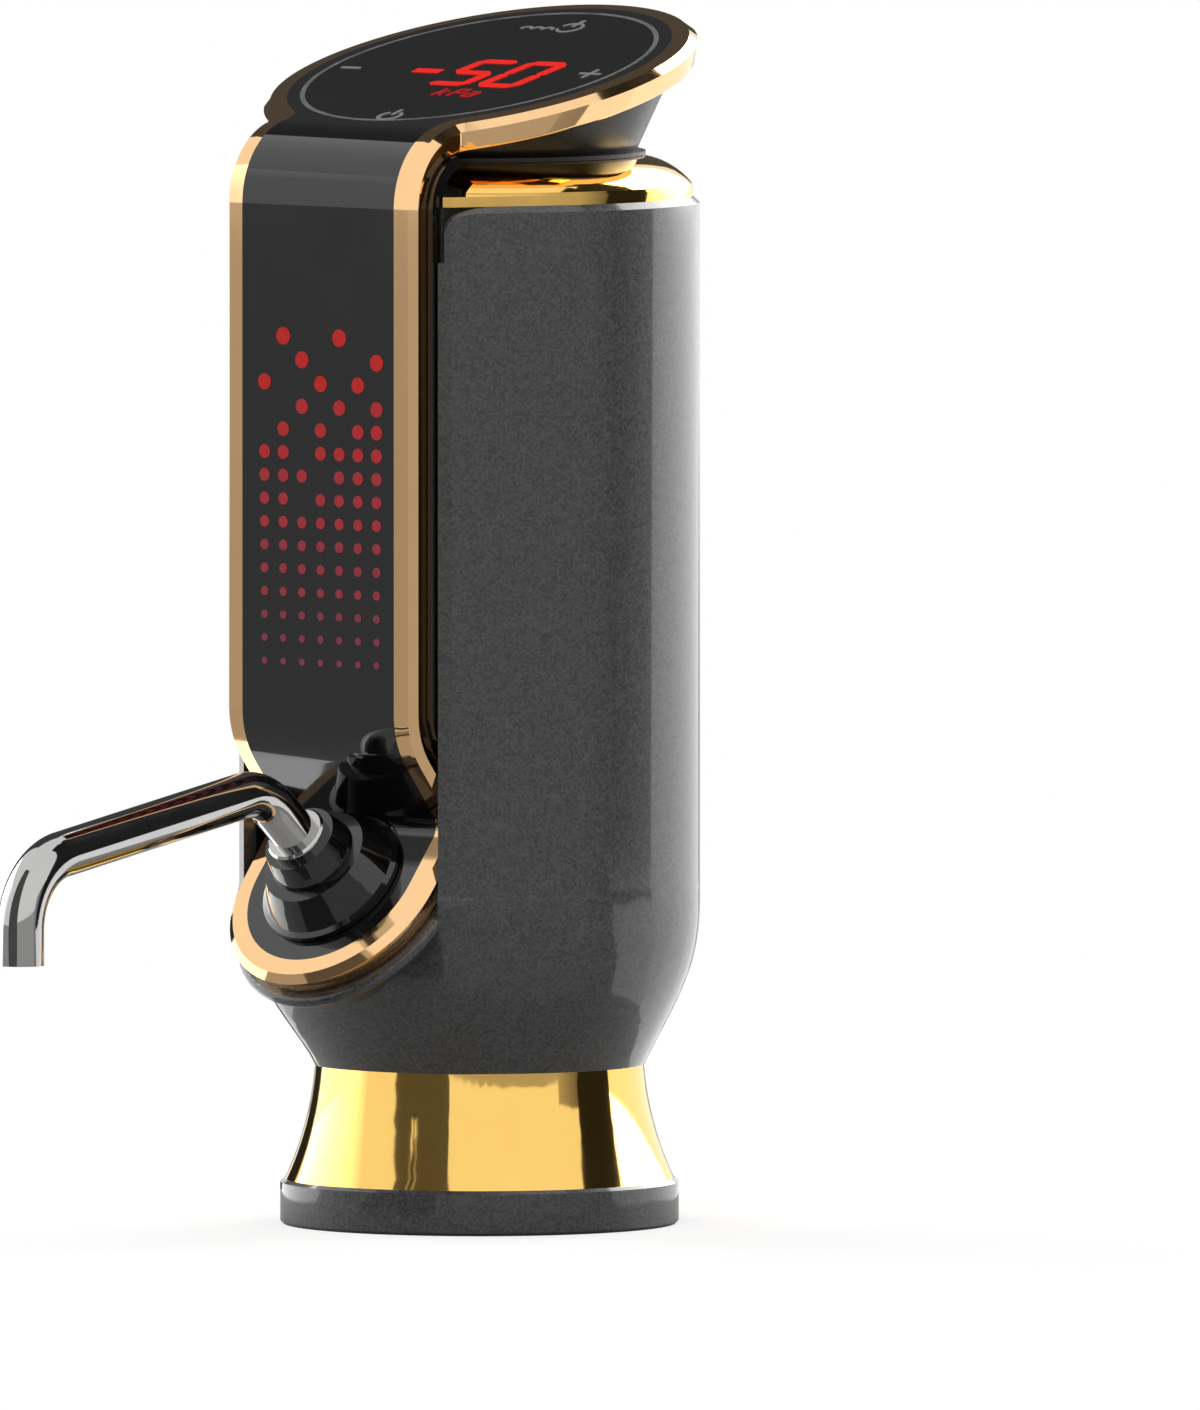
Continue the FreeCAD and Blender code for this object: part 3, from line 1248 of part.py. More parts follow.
# ---------------------------------------------------------------- spout
def on_seat(body):
    """Stand a body on the spout seat, its own Z axis along the spout's axis."""
    body.Placement = FreeCAD.Placement(Vector(0, 0, 0), FreeCAD.Rotation(RIGHT, 1))
    body.setExpression("Placement.Rotation.Angle", bound("seat_tilt"))
    body.setExpression("Placement.Base.y", bound("-seat_forward"))
    body.setExpression("Placement.Base.z", bound("seat_height"))


def make_collar():
    """Stepped collar whose spigot turns in the socket under the seat."""
    body = new_body("spout_collar")
    lift = "collar_clearance / 2"
    corners = [
        ("spigot_passage", "-spigot_length"),
        ("spigot_radius", "-spigot_length"),
    ]
    for level in ("-spigot_length + seal_low", "-spigot_length + seal_low + seal_pitch"):
        corners += [
            ("spigot_radius", level),
            ("spigot_radius - seal_groove", level),
            ("spigot_radius - seal_groove", f"{level} + seal_width"),
            ("spigot_radius", f"{level} + seal_width"),
        ]
    corners += [
        ("spigot_radius", lift),
        ("collar_radius", lift),
        ("collar_radius", "collar_rim"),
        ("collar_cone_radius", "collar_rim + collar_edge"),
        ("collar_cone_top", "collar_cone_height"),
        ("collar_neck_radius", "collar_cone_height + collar_edge / 2"),
        ("collar_neck_radius", "collar_cone_height + 2 * collar_edge"),
        ("collar_neck_top", "collar_height"),
        ("tube_radius", "collar_height"),
        ("tube_radius", "collar_height - tube_seat"),
        ("spigot_passage", "collar_height - tube_seat"),
    ]
    revolve(body, corners)
    on_seat(body)
    return body


def make_ferrule():
    body = new_body("spout_ferrule")
    revolve(body, [
        ("tube_radius", "collar_height"),
        ("ferrule_radius", "collar_height"),
        ("ferrule_radius", "collar_height + ferrule_height - collar_edge"),
        ("ferrule_radius - collar_edge", "collar_height + ferrule_height"),
        ("tube_radius", "collar_height + ferrule_height"),
    ])
    on_seat(body)
    return body


def make_spout_seals():
    """Two square-section seals in the spigot's grooves."""
    seals = []
    centre, normal, _ = seat_frame()
    for level in size("seal_low"), size("seal_low + seal_pitch"):
        foot = centre - normal * (size("spigot_length") - level - SEAL_SLACK)
        height = size("seal_width") - 2 * SEAL_SLACK
        ring = Part.makeCylinder(size("spigot_radius"), height, foot, normal)
        bore = Part.makeCylinder(size("spigot_radius - seal_groove"), height, foot, normal)
        seals.append(ring.cut(bore))
    return solid_feature("spout_seals", Part.makeCompound(seals))


def make_tube():
    """Bent steel tube: out along the spout's axis, a long run that falls gently, and down."""
    centre, normal, _ = seat_frame()
    start = centre + normal * size("collar_height - tube_seat")
    corner = centre + normal * size("tube_rise")
    fall = math.radians(size("tube_fall"))
    forward = Vector(0, -math.cos(fall), -math.sin(fall))
    second_corner = corner + forward * ((size("tube_reach") + corner.y) / math.cos(fall))
    mouth = Vector(0, second_corner.y, size("tube_mouth"))
    bends = [size("tube_first_bend"), size("tube_second_bend")]
    tube = hollow_run([start, corner, second_corner, mouth], bends, "tube_radius", "tube_bore")
    return solid_feature("spout_tube", tube)


def make_spout_socket():
    """Flanged fitting under the seat that holds the spigot and ends in a hose barb."""
    body = new_body("spout_socket")
    bore = "spigot_radius + spigot_clearance"
    revolve(body, [
        ("hose_bore", "-fitting_length - fitting_barb"),
        ("hose_barb_radius", "-fitting_length - fitting_barb"),
        ("hose_barb_radius", "-fitting_length"),
        ("fitting_radius", "-fitting_length"),
        ("fitting_radius", "-trim_depth"),
        ("fitting_flange", "-trim_depth"),
        ("fitting_flange", "-ribbon_thickness"),
        (bore, "-ribbon_thickness"),
        (bore, "-spigot_length - spigot_end_gap"),
        ("hose_bore", "-spigot_length - spigot_end_gap"),
    ])
    on_seat(body)
    return body


def make_spout_nut():
    """Nut that pulls the spout socket against the pod's plate."""
    body = new_body("spout_nut")
    top = "-trim_depth - pod_plate"
    revolve(body, ring_corners("fitting_radius", "fitting_nut", f"{top} - fitting_nut_height", top))
    on_seat(body)
    return body


# ---------------------------------------------------------------- chassis, cell and boards
def make_chassis():
    """Web between pump and cell with shelves, trimmed to the inside of the shell."""
    web_front = size("chassis_back")
    web = size("chassis_web")
    shelf = size("chassis_shelf")
    low = size("floor_top")
    high = size("chassis_ring_top")
    reach = size("shell_radius")

    def level(foot, thickness, front, back, half_width=reach):
        return Part.makeBox(2 * half_width, back - front, thickness,
                            Vector(-half_width, front, foot))

    form = level(low, high - low, web_front, web_front + web)
    holder_back = size("cell_back + holder_reach")
    cell_foot = size("cell_foot - contact_thickness")
    cell_top = size("cell_foot + cell_length + contact_thickness")
    shelves = [
        level(size("chassis_shelf_height"), shelf, -size("solenoid_forward + shelf_front"), reach),
        level(size("chassis_ring_height"), shelf, -size("carrier_back - board_thickness"), reach),
        level(size("motor_top"), shelf, -size("pump_forward + motor_screw_reach"),
              web_front + web, size("motor_radius") - 1),
        level(cell_foot - shelf, shelf, web_front, holder_back, size("holder_half_width")),
        level(cell_top, shelf, web_front, holder_back, size("holder_half_width")),
    ]
    form = form.multiFuse(shelves)
    cavity = shell_form(size("shell_wall + works_clearance"))
    form = form.common(cavity)
    form = form.cut(rod("2 * shell_radius", "0", "floor_top"))
    arch = level(low - OVERRUN, size("chassis_arch"), web_front - OVERRUN,
                 web_front + web + OVERRUN, size("chassis_arch_half_width"))
    form = form.cut(arch)
    ring = ("chassis_ring_height", "chassis_ring_top")
    arm = ("motor_top", "motor_top + chassis_shelf")
    form = drill(form, "cable_hole_radius", *ring, AXIS)
    form = drill(form, "screw_radius + screw_gap", *ring, SUPPORT_SCREWS)
    form = drill(form, "bush_radius + bush_room", *arm, [("0", "-pump_forward")])
    form = drill(form, "screw_radius + screw_gap", *arm, MOTOR_SCREWS_PLACED)
    form = drill(form, "hose_radius + hose_room", "chassis_shelf_height", "shelf_top",
                 [("valve_outlet_across", "-valve_outlet_forward")])
    return solid_feature("chassis", form.removeSplitter())


def make_cell():
    """Cylindrical lithium cell with its raised positive end."""
    turned("battery_cell", [
        ("0", "cell_foot"),
        ("cell_radius - cell_edge", "cell_foot"),
        ("cell_radius", "cell_foot + cell_edge"),
        ("cell_radius", "cell_foot + cell_length - button_height - cell_edge"),
        ("cell_radius - cell_edge", "cell_foot + cell_length - button_height"),
        ("button_radius", "cell_foot + cell_length - button_height"),
        ("button_radius", "cell_foot + cell_length"),
        ("0", "cell_foot + cell_length"),
    ], back="cell_back")
    plates = []
    for foot in (size("cell_foot - contact_thickness"), size("cell_foot + cell_length")):
        corner = Vector(-size("contact_half_width"), size("cell_back - contact_half_depth"), foot)
        plates.append(Part.makeBox(size("2 * contact_half_width"), size("2 * contact_half_depth"),
                                   size("contact_thickness"), corner))
    solid_feature("cell_contacts", Part.makeCompound(plates))


def box_corners(half_width, low, high):
    return [("-" + half_width, low), (half_width, low), (half_width, high),
            ("-" + half_width, high)]


def make_boards():
    """Main board on spacers behind the carrier, light board in front of it, power board on
    the shelf and touch board under the window."""
    body = new_body("main_board")
    pad(body, "main_board_sheet", "XZ_Plane",
        lambda sketch: draw_outline(sketch, box_corners("main_board_half_width",
                                                        "main_board_foot", "main_board_top")),
        "board_thickness")
    place(body, back="-carrier_back + main_board_gap + board_thickness")

    spacers = []
    chips = []
    front = -size("carrier_back")
    behind = front + size("main_board_gap + board_thickness")
    for side in (-1, 1):
        across = side * size("main_board_half_width - spacer_inset")
        for height in size("main_board_foot + spacer_inset"), size("main_board_top - spacer_inset"):
            spacers.append(Part.makeCylinder(size("spacer_radius"), size("main_board_gap"),
                                             Vector(across, front, height), Vector(0, 1, 0)))
    for across, drop, width, height, thickness in CHIPS:
        corner = Vector(across - width / 2, behind, size("main_board_top") - drop)
        chips.append(Part.makeBox(width, thickness, height, corner))
    solid_feature("board_spacers", Part.makeCompound(spacers))
    solid_feature("board_chips", Part.makeCompound(chips))

    body = new_body("light_board")
    low = "led_top_row - (led_rows - 1) * led_row_pitch - led_margin"
    high = "led_top_row + led_margin"
    pad(body, "light_board_sheet", "XZ_Plane",
        lambda sketch: draw_outline(sketch, box_corners("led_board_half_width", low, high)),
        "led_board_thickness")
    place(body, back="-ribbon_forward + trim_depth")

    lights = []
    half = size("led_size") / 2
    face = -size("ribbon_forward") + size("trim_depth - led_board_thickness - led_height")
    columns = int(size("led_columns"))
    for row in range(int(size("led_rows"))):
        for column in range(columns):
            middle = Vector((column - (columns - 1) / 2) * size("led_column_pitch"), face,
                            size("led_top_row") - row * size("led_row_pitch"))
            lights.append(Part.makeBox(2 * half, size("led_height"), 2 * half,
                                       middle - Vector(half, 0, half)))
    solid_feature("matrix_lights", Part.makeCompound(lights))

    body = new_body("power_board")
    pad(body, "power_board_sheet", "XY_Plane",
        lambda sketch: draw_outline(sketch, box_corners(
            "power_board_half_width", "chassis_back + chassis_web + power_board_gap",
            "shell_inside - power_board_back")),
        "board_thickness")
    place(body, up="shelf_top")

    glass = size("window_thickness")
    board = head_cylinder(size("touch_board_radius"), glass, glass + size("board_thickness"))
    solid_feature("touch_board", board)
    middle, head_normal, back = head_frame()
    top = glass + size("board_thickness")
    corners = [middle - head_normal * top + RIGHT * (x * size("display_half_width"))
               + back * (y * size("display_half_length"))
               for x, y in ((-1, -1), (1, -1), (1, 1), (-1, 1))]
    module = Part.Face(Part.makePolygon(corners + corners[:1]))
    module = module.extrude(head_normal * -size("display_thickness"))
    solid_feature("display_module", module)


def make_charging_socket():
    """Charging socket: rounded steel mouth on the power board."""
    half_width = "socket_half_width"
    half_height = "socket_half_height"

    def rounded(shrink):
        across = f"({half_width} - {half_height})"
        up = f"({half_height} - {shrink})"
        bulge = f"{up} * socket_bulge"
        return [("-" + across, f"socket_height - {up}"),
                (across, f"socket_height - {up}", bulge),
                (across, f"socket_height + {up}"),
                ("-" + across, f"socket_height + {up}", bulge)]

    body = new_body("charging_socket")
    pad(body, "socket_case", "XZ_Plane", lambda sketch: draw_outline(sketch, rounded("0")),
        "socket_depth")
    pocket(body, "socket_mouth", "XZ_Plane",
           lambda sketch: draw_outline(sketch, rounded("socket_wall")), "socket_depth - 1")
    place(body, back="shell_radius - socket_setback")
    return body


# ---------------------------------------------------------------- pump and valve
def make_motor():
    """Can motor with its magnets and bushes; shaft, armature and commutator turn."""
    back = "-pump_forward"
    can_inside = "motor_radius - motor_wall"
    can = turned("motor_can", [
        ("bush_radius", "motor_foot"),
        ("motor_radius", "motor_foot"),
        ("motor_radius", "motor_top"),
        ("bush_radius", "motor_top"),
        ("bush_radius", "motor_top - motor_plate"),
        (can_inside, "motor_top - motor_plate"),
        (can_inside, "motor_foot + motor_plate"),
        ("bush_radius", "motor_foot + motor_plate"),
    ], back=back)
    pocket(can, "motor_screw_holes", "XY_Plane", circles(MOTOR_SCREWS, "screw_radius"))
    screws("motor_screws", MOTOR_SCREWS_PLACED, "motor_top + chassis_shelf",
           "motor_top - motor_plate + tip_gap")

    bushes = []
    for low, high in (("motor_foot - bush_stand", "motor_foot + bush_inside"),
                      ("motor_top - bush_inside", "motor_top + bush_stand / 2")):
        outer = rod("bush_radius", low, high, "0", back)
        bushes.append(outer.cut(rod("motor_shaft_radius + bush_clearance", low, high, "0", back)))
    solid_feature("motor_bushes", Part.makeCompound(bushes))

    low = "armature_foot - winding_rise"
    high = "armature_foot + armature_length + winding_rise"
    magnet = rod(can_inside + " - magnet_seat", low, high, "0", back)
    magnet = magnet.cut(rod("armature_radius + magnet_gap", low, high, "0", back))
    split = Part.makeBox(size("magnet_split"), 2 * size("motor_radius"), size(high) - size(low),
                         Vector(-size("magnet_split") / 2, -size("pump_forward + motor_radius"),
                                size(low)))
    solid_feature("motor_magnets", Part.makeCompound(magnet.cut(split).Solids))

    turned("motor_shaft", ring_corners("0", "motor_shaft_radius", "eccentric_foot",
                                       "motor_top + bush_stand"), back=back)
    armature = turned("motor_armature", ring_corners(
        "motor_shaft_radius", "armature_radius", "armature_foot",
        "armature_foot + armature_length"), back=back)
    slots = circles(around("armature_radius - slot_depth", 5), "armature_slot")
    pocket(armature, "armature_slots", "XY_Plane", slots)
    turned("commutator", ring_corners(
        "motor_shaft_radius", "commutator_radius",
        "armature_foot + armature_length + winding_rise",
        "motor_top - bush_inside - commutator_gap"), back=back)


def make_pump():
    """Diaphragm pump under the motor: housing, eccentric, wobble plate, diaphragm, valve
    plate and cap with two nozzles."""
    back = "-pump_forward"
    housing = turned("pump_housing", [
        ("bush_radius + 2 * push_gap", "motor_foot - pump_wall"),
        ("pump_chamber", "motor_foot - pump_wall"),
        ("pump_chamber", "housing_foot"),
        ("pump_radius", "housing_foot"),
        ("pump_radius", "motor_foot"),
        ("bush_radius + 2 * push_gap", "motor_foot"),
    ], back=back)
    holes = circles(MOTOR_SCREWS, "screw_radius + screw_gap")
    pocket(housing, "pump_screw_holes", "XY_Plane", holes)
    screws("pump_screws", MOTOR_SCREWS_PLACED, "motor_foot - pump_wall",
           "motor_foot + motor_plate - tip_gap")

    eccentric = turned("pump_eccentric", ring_corners(
        "motor_shaft_radius", "eccentric_radius", "eccentric_foot",
        "eccentric_foot + eccentric_height"), back=back)
    pin = circles([("eccentric_radius - drive_pin_inset", "0")], "drive_pin_radius")
    pad(eccentric, "drive_pin", "XY_Plane", pin, "drive_pin_length",
        "eccentric_foot - drive_pin_length")

    plate_foot = "housing_foot + wobble_rise"
    wobble = turned("wobble_plate", ring_corners(
        "0", "wobble_radius", plate_foot, f"{plate_foot} + wobble_thickness"), back=back)
    reach = "wobble_radius - wobble_inset"
    pad(wobble, "wobble_feet", "XY_Plane", circles(around(reach, 3, 90), "wobble_foot"),
        "wobble_rise", "housing_foot")

    turned("diaphragm", ring_corners("0", "pump_radius", "diaphragm_foot", "housing_foot"),
           back=back)
    valve_plate = turned("valve_plate", ring_corners("0", "pump_radius", "valve_plate_foot",
                                                     "diaphragm_foot"), back=back)
    pocket(valve_plate, "valve_ports", "XY_Plane", circles(around(reach, 6, 90), "valve_port"))
    cap = turned("pump_cap", [
        ("0", "pump_cap_foot + pump_wall"),
        ("pump_chamber", "pump_cap_foot + pump_wall"),
        ("pump_chamber", "valve_plate_foot"),
        ("pump_radius", "valve_plate_foot"),
        ("pump_radius", "pump_cap_foot"),
        ("0", "pump_cap_foot"),
    ], back=back)
    nozzles = around("nozzle_across", 2)
    stub_foot = "pump_cap_foot - nozzle_stub"
    pad(cap, "pump_nozzles", "XY_Plane", circles(nozzles, "nozzle_radius"), "nozzle_stub",
        stub_foot)
    pocket(cap, "nozzle_bores", "XY_Plane", circles(nozzles, "nozzle_bore"),
           "nozzle_stub + pump_wall", stub_foot)


def lie_across(body, start):
    """Lay a body along X from a formula's place, on the solenoid's axis."""
    body.Placement = FreeCAD.Placement(Vector(0, 0, 0), FreeCAD.Rotation(Vector(0, 1, 0), 90))
    place(body, start, "-solenoid_forward", "solenoid_height")


def make_valve():
    """Solenoid that opens the air passage: coil, sliding plunger with its spring, valve block
    and the pressure sensor on it."""
    bore = "plunger_radius + plunger_clearance"
    coil = new_body("solenoid_coil")
    revolve(coil, [
        (bore, "solenoid_base"),
        (bore, "solenoid_length"),
        ("solenoid_radius", "solenoid_length"),
        ("solenoid_radius", "solenoid_length - solenoid_base"),
        ("solenoid_radius - winding_inset", "solenoid_length - solenoid_base"),
        ("solenoid_radius - winding_inset", "solenoid_base"),
        ("solenoid_radius", "solenoid_base"),
        ("solenoid_radius", "0"),
        ("0", "0"),
        ("0", "solenoid_base"),
    ])
    lie_across(coil, "solenoid_end - solenoid_length")
    plunger = new_body("solenoid_plunger")
    revolve(plunger, [
        ("0", "0"),
        ("plunger_radius", "0"),
        ("plunger_radius", "plunger_length - plunger_point"),
        ("plunger_radius - plunger_point", "plunger_length"),
        ("0", "plunger_length"),
    ])
    lie_across(plunger, "plunger_start")

    spring_start = "solenoid_end - solenoid_length + solenoid_base"
    axis = Vector(0, -size("solenoid_forward"), size("solenoid_height"))
    height = size(f"plunger_start - spring_gap - ({spring_start}) - 2 * spring_wire")
    turns = size("spring_turns")
    coils = Part.makeHelix(height / turns, height, size("spring_radius"))
    inner, outer = size("spring_radius - spring_wire"), size("spring_radius + spring_wire")
    half = size("spring_wire")
    section = Part.makePolygon([Vector(inner, 0, -half), Vector(outer, 0, -half),
                                Vector(outer, 0, half), Vector(inner, 0, half),
                                Vector(inner, 0, -half)])
    spring = Part.Wire(coils.Edges).makePipeShell([section], True, True)
    spring.rotate(Vector(0, 0, 0), Vector(0, 1, 0), 90)
    spring.translate(axis + RIGHT * size(f"{spring_start} + spring_wire"))
    solid_feature("plunger_spring", spring)

    half = size("solenoid_radius")
    entry = axis + RIGHT * size("solenoid_end")
    block = Part.makeBox(size("valve_length"), 2 * half, 2 * half, entry - Vector(0, half, half))
    inlet = ("nozzle_across", "-pump_forward")
    outlet = ("valve_outlet_across", "-valve_outlet_forward")
    top = "solenoid_height + solenoid_radius + nozzle_stub"
    block = block.fuse(rod("nozzle_radius", "solenoid_height", top, *inlet))
    block = block.fuse(rod("hose_barb_radius", "valve_outlet_foot", "solenoid_height", *outlet))
    block = block.cut(Part.makeCylinder(size(bore), size("valve_length - solenoid_base"), entry,
                                        RIGHT))
    block = block.cut(rod("nozzle_bore", "solenoid_height", top, *inlet))
    block = block.cut(rod("hose_bore", "valve_outlet_foot", "solenoid_height", *outlet))
    solid_feature("valve_block", block.removeSplitter())

    side = size("sensor_side")
    depth = size("sensor_depth")
    place_of_sensor = entry + Vector(size("valve_length") / 2, -half, 0)
    sensor = Part.makeBox(side, depth, side, place_of_sensor - Vector(side / 2, depth, side / 2))
    port = Part.makeCylinder(size("sensor_port"), depth / 2,
                             place_of_sensor - Vector(0, depth, 0), Vector(0, 1, 0))
    solid_feature("pressure_sensor", sensor.cut(port))


def make_hoses():
    """Silicone hoses: spout socket to stopper, pump to valve and valve to stopper."""
    centre, normal, _ = seat_frame()
    bend = size("hose_bend")
    half_gap = size("barb_spacing") / 2
    slack = size("hose_slack")
    barb_grip = size("barb_length") - 2 * slack
    turn_height = size("floor_top + barb_length") + bend + slack
    start = centre - normal * (size("fitting_length") + slack)
    knee = centre - normal * size("fitting_length + fitting_barb + hose_lead")
    over_wine = Vector(0, -half_gap, turn_height)
    wine_end = Vector(0, -half_gap, size("floor_top + barb_length") - barb_grip)
    wine = hollow_run([start, knee, over_wine, wine_end], [bend, bend],
                      "hose_radius", "hose_barb_radius")
    solid_feature("wine_hose", wine)
    outlet = Vector(size("valve_outlet_across"), -size("valve_outlet_forward"),
                    size("valve_outlet_foot + nozzle_stub - hose_end_gap"))
    crossing = turn_height + size("hose_crossing")
    low = Vector(outlet.x, outlet.y, crossing)
    over_air = Vector(0, half_gap, crossing)
    air_end = Vector(0, half_gap, wine_end.z)
    air = hollow_run([outlet, low, over_air, air_end], [bend, bend],
                     "hose_radius", "hose_barb_radius")
    solid_feature("air_hose", air)
    low_end = Vector(size("nozzle_across"), -size("pump_forward"),
                     size("solenoid_height + solenoid_radius + hose_end_gap"))
    high_end = Vector(low_end.x, low_end.y, size("pump_cap_foot - hose_end_gap"))
    link = hollow_run([low_end, high_end], [], "nozzle_radius + hose_wall", "nozzle_radius")
    solid_feature("pump_hose", link)


# ---------------------------------------------------------------- build
make_base_ring()
make_skirt()
make_stopper_core()
make_stopper()
make_shell()
make_rim_ring()
make_cap()
make_cap_support()
make_head_neck()
make_front_panel()
make_trim()
make_panel_carrier()
make_display()
make_collar()
make_ferrule()
make_spout_seals()
make_tube()
make_spout_socket()
make_spout_nut()
make_chassis()
make_cell()
make_boards()
make_charging_socket()
make_motor()
make_pump()
make_valve()
make_hoses()
doc.recompute()

pieces = [item for item in doc.Objects
          if item.TypeId in ("PartDesign::Body", "Part::Feature")]
for item in doc.Objects:
    if "Invalid" in item.State or "Error" in item.State:
        raise RuntimeError(f"{item.Label} did not compute: {item.State}")
for piece in pieces:
    if piece.Shape.isNull() or not piece.Shape.isValid() or not piece.Shape.Solids:
        raise RuntimeError(piece.Label + " has no valid solid")

os.makedirs("parts", exist_ok=True)
for piece in pieces:
    piece.Shape.exportStep(f"parts/{piece.Label}.step")
    box = piece.Shape.BoundBox
    print(f"{piece.Label:22s} {len(piece.Shape.Solids)} solids  {piece.Shape.Volume:9.1f} mm3  "
          f"x {box.XMin:6.1f}..{box.XMax:6.1f}  y {box.YMin:6.1f}..{box.YMax:6.1f}  "
          f"z {box.ZMin:6.1f}..{box.ZMax:6.1f}")
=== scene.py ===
import json
import math

import bmesh
import bpy
from mathutils import Matrix, Vector


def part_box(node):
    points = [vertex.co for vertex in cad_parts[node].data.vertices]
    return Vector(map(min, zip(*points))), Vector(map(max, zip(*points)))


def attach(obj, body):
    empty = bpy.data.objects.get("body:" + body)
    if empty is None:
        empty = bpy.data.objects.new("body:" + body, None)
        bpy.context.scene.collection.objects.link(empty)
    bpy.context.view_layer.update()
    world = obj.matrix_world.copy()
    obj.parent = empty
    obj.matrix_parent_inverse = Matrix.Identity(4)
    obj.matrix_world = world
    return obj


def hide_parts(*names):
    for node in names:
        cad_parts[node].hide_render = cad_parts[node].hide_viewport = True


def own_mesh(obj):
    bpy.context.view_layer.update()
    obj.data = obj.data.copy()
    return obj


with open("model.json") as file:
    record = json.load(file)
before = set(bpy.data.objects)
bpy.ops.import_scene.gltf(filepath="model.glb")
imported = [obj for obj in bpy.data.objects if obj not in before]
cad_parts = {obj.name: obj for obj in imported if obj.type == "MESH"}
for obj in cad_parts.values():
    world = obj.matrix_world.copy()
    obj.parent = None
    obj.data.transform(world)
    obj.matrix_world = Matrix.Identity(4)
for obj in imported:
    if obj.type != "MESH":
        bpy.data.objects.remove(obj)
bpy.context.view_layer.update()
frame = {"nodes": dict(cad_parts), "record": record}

# Wine preservation dispenser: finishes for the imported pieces, and as pieces of their own the
# display's signs, the lights that show on the ribbon, and the valve's return spring.
# Metres; +Z up, the spout points along -Y.

NODES = frame["nodes"]
SLOTS = {part["node"]: part["material_slot"] for part in frame["record"]["subparts"]}
MM = 0.001
EVEN = Vector((1, 1, 1))          # the same along every axis
RIGHT = Vector((1, 0, 0))


# ---------------------------------------------------------------- shader maths
MIX_FIRST, MIX_SECOND, MIX_RESULT = 6, 7, 2      # a Mix node's sockets when it mixes colours


class Value:
    """A socket of a material; Python's operators on it add Math nodes."""

    def __init__(self, paint, socket):
        self.paint = paint
        self.socket = socket

    def maths(self, operation, *inputs):
        return self.paint.node("ShaderNodeMath", {"operation": operation}, dict(enumerate(inputs)))

    def __add__(self, other):
        return self.maths("ADD", self, other)

    def __sub__(self, other):
        return self.maths("SUBTRACT", self, other)

    def __rsub__(self, other):
        return self.maths("SUBTRACT", other, self)

    def __mul__(self, other):
        return self.maths("MULTIPLY", self, other)

    __radd__ = __add__
    __rmul__ = __mul__


class Paint:
    """A material with one Principled shader; look() sets its sockets from values or links."""

    def __init__(self, name):
        self.material = bpy.data.materials.new(name)
        self.material.use_nodes = True
        self.tree = self.material.node_tree
        self.tree.nodes.clear()
        output = self.tree.nodes.new("ShaderNodeOutputMaterial")
        self.surface = self.tree.nodes.new("ShaderNodeBsdfPrincipled")
        self.tree.links.new(self.surface.outputs[0], output.inputs["Surface"])

    def feed(self, socket, value):
        """Link a value to a socket, or set the socket to a plain number or colour."""
        if isinstance(value, Value):
            self.tree.links.new(value.socket, socket)
        else:
            socket.default_value = value

    def node(self, kind, settings=None, inputs=None, output=0):
        """Any node: its settings first, then the values or links of its sockets."""
        made = self.tree.nodes.new(kind)
        for name, value in (settings or {}).items():
            setattr(made, name, value)
        for name, value in (inputs or {}).items():
            self.feed(made.inputs[name], value)
        return Value(self, made.outputs[output])

    def look(self, **sockets):
        """Set the shader's sockets, named with _ for a space, and return the material."""
        for name, value in sockets.items():
            self.feed(self.surface.inputs[name.replace("_", " ")], value)
        return self.material

    def position(self):
        """Object coordinates, which are metres on the object."""
        return self.node("ShaderNodeTexCoord", output="Object")

    def vector(self, operation, first, second=None, output="Vector"):
        """A Vector Math node; an operation that gives a number has the output Value."""
        inputs = {0: first} if second is None else {0: first, 1: second}
        return self.node("ShaderNodeVectorMath", {"operation": operation}, inputs, output)

    def noise(self, grain, detail=2.0, stretch=EVEN):
        """Smooth noise from 0 to 1 whose lumps are about grain millimetres across."""
        where = self.vector("MULTIPLY", self.position(), Vector(stretch) / grain / MM)
        return self.node("ShaderNodeTexNoise", {}, {"Vector": where, "Scale": 1.0,
                                                    "Detail": detail, "Roughness": 0.55})

    def cells(self, grain):
        """A number from 0 to 1 for each cell, grain millimetres across."""
        where = self.vector("MULTIPLY", self.position(), EVEN / grain / MM)
        colour = self.node("ShaderNodeTexVoronoi", {}, {"Vector": where, "Scale": 1.0}, "Color")
        return self.red(colour)

    def red(self, colour):
        """The red part of a colour, as a number."""
        return self.node("ShaderNodeSeparateColor", {}, {"Color": colour})

    def remap(self, value, low, high, new_low, new_high):
        """A value that runs from low to high, as one from new_low to new_high, clamped."""
        return self.node("ShaderNodeMapRange", {"clamp": True}, {
            "Value": value, "From Min": low, "From Max": high,
            "To Min": new_low, "To Max": new_high})

    def mix(self, share, first, second):
        """A colour between two; share 0 gives the first."""
        return self.node("ShaderNodeMix", {"data_type": "RGBA"},
                         {"Factor": share, MIX_FIRST: first, MIX_SECOND: second}, MIX_RESULT)

    def bump(self, height, depth):
        """Normal of a height from 0 to 1 that stands for depth millimetres."""
        return self.node("ShaderNodeBump", {}, {"Height": height, "Distance": depth * MM})


def grey(level):
    return (level, level, level, 1)


def scaled(colour, red, green, blue):
    """A colour with each of its three parts multiplied."""
    return (colour[0] * red, colour[1] * green, colour[2] * blue, 1)


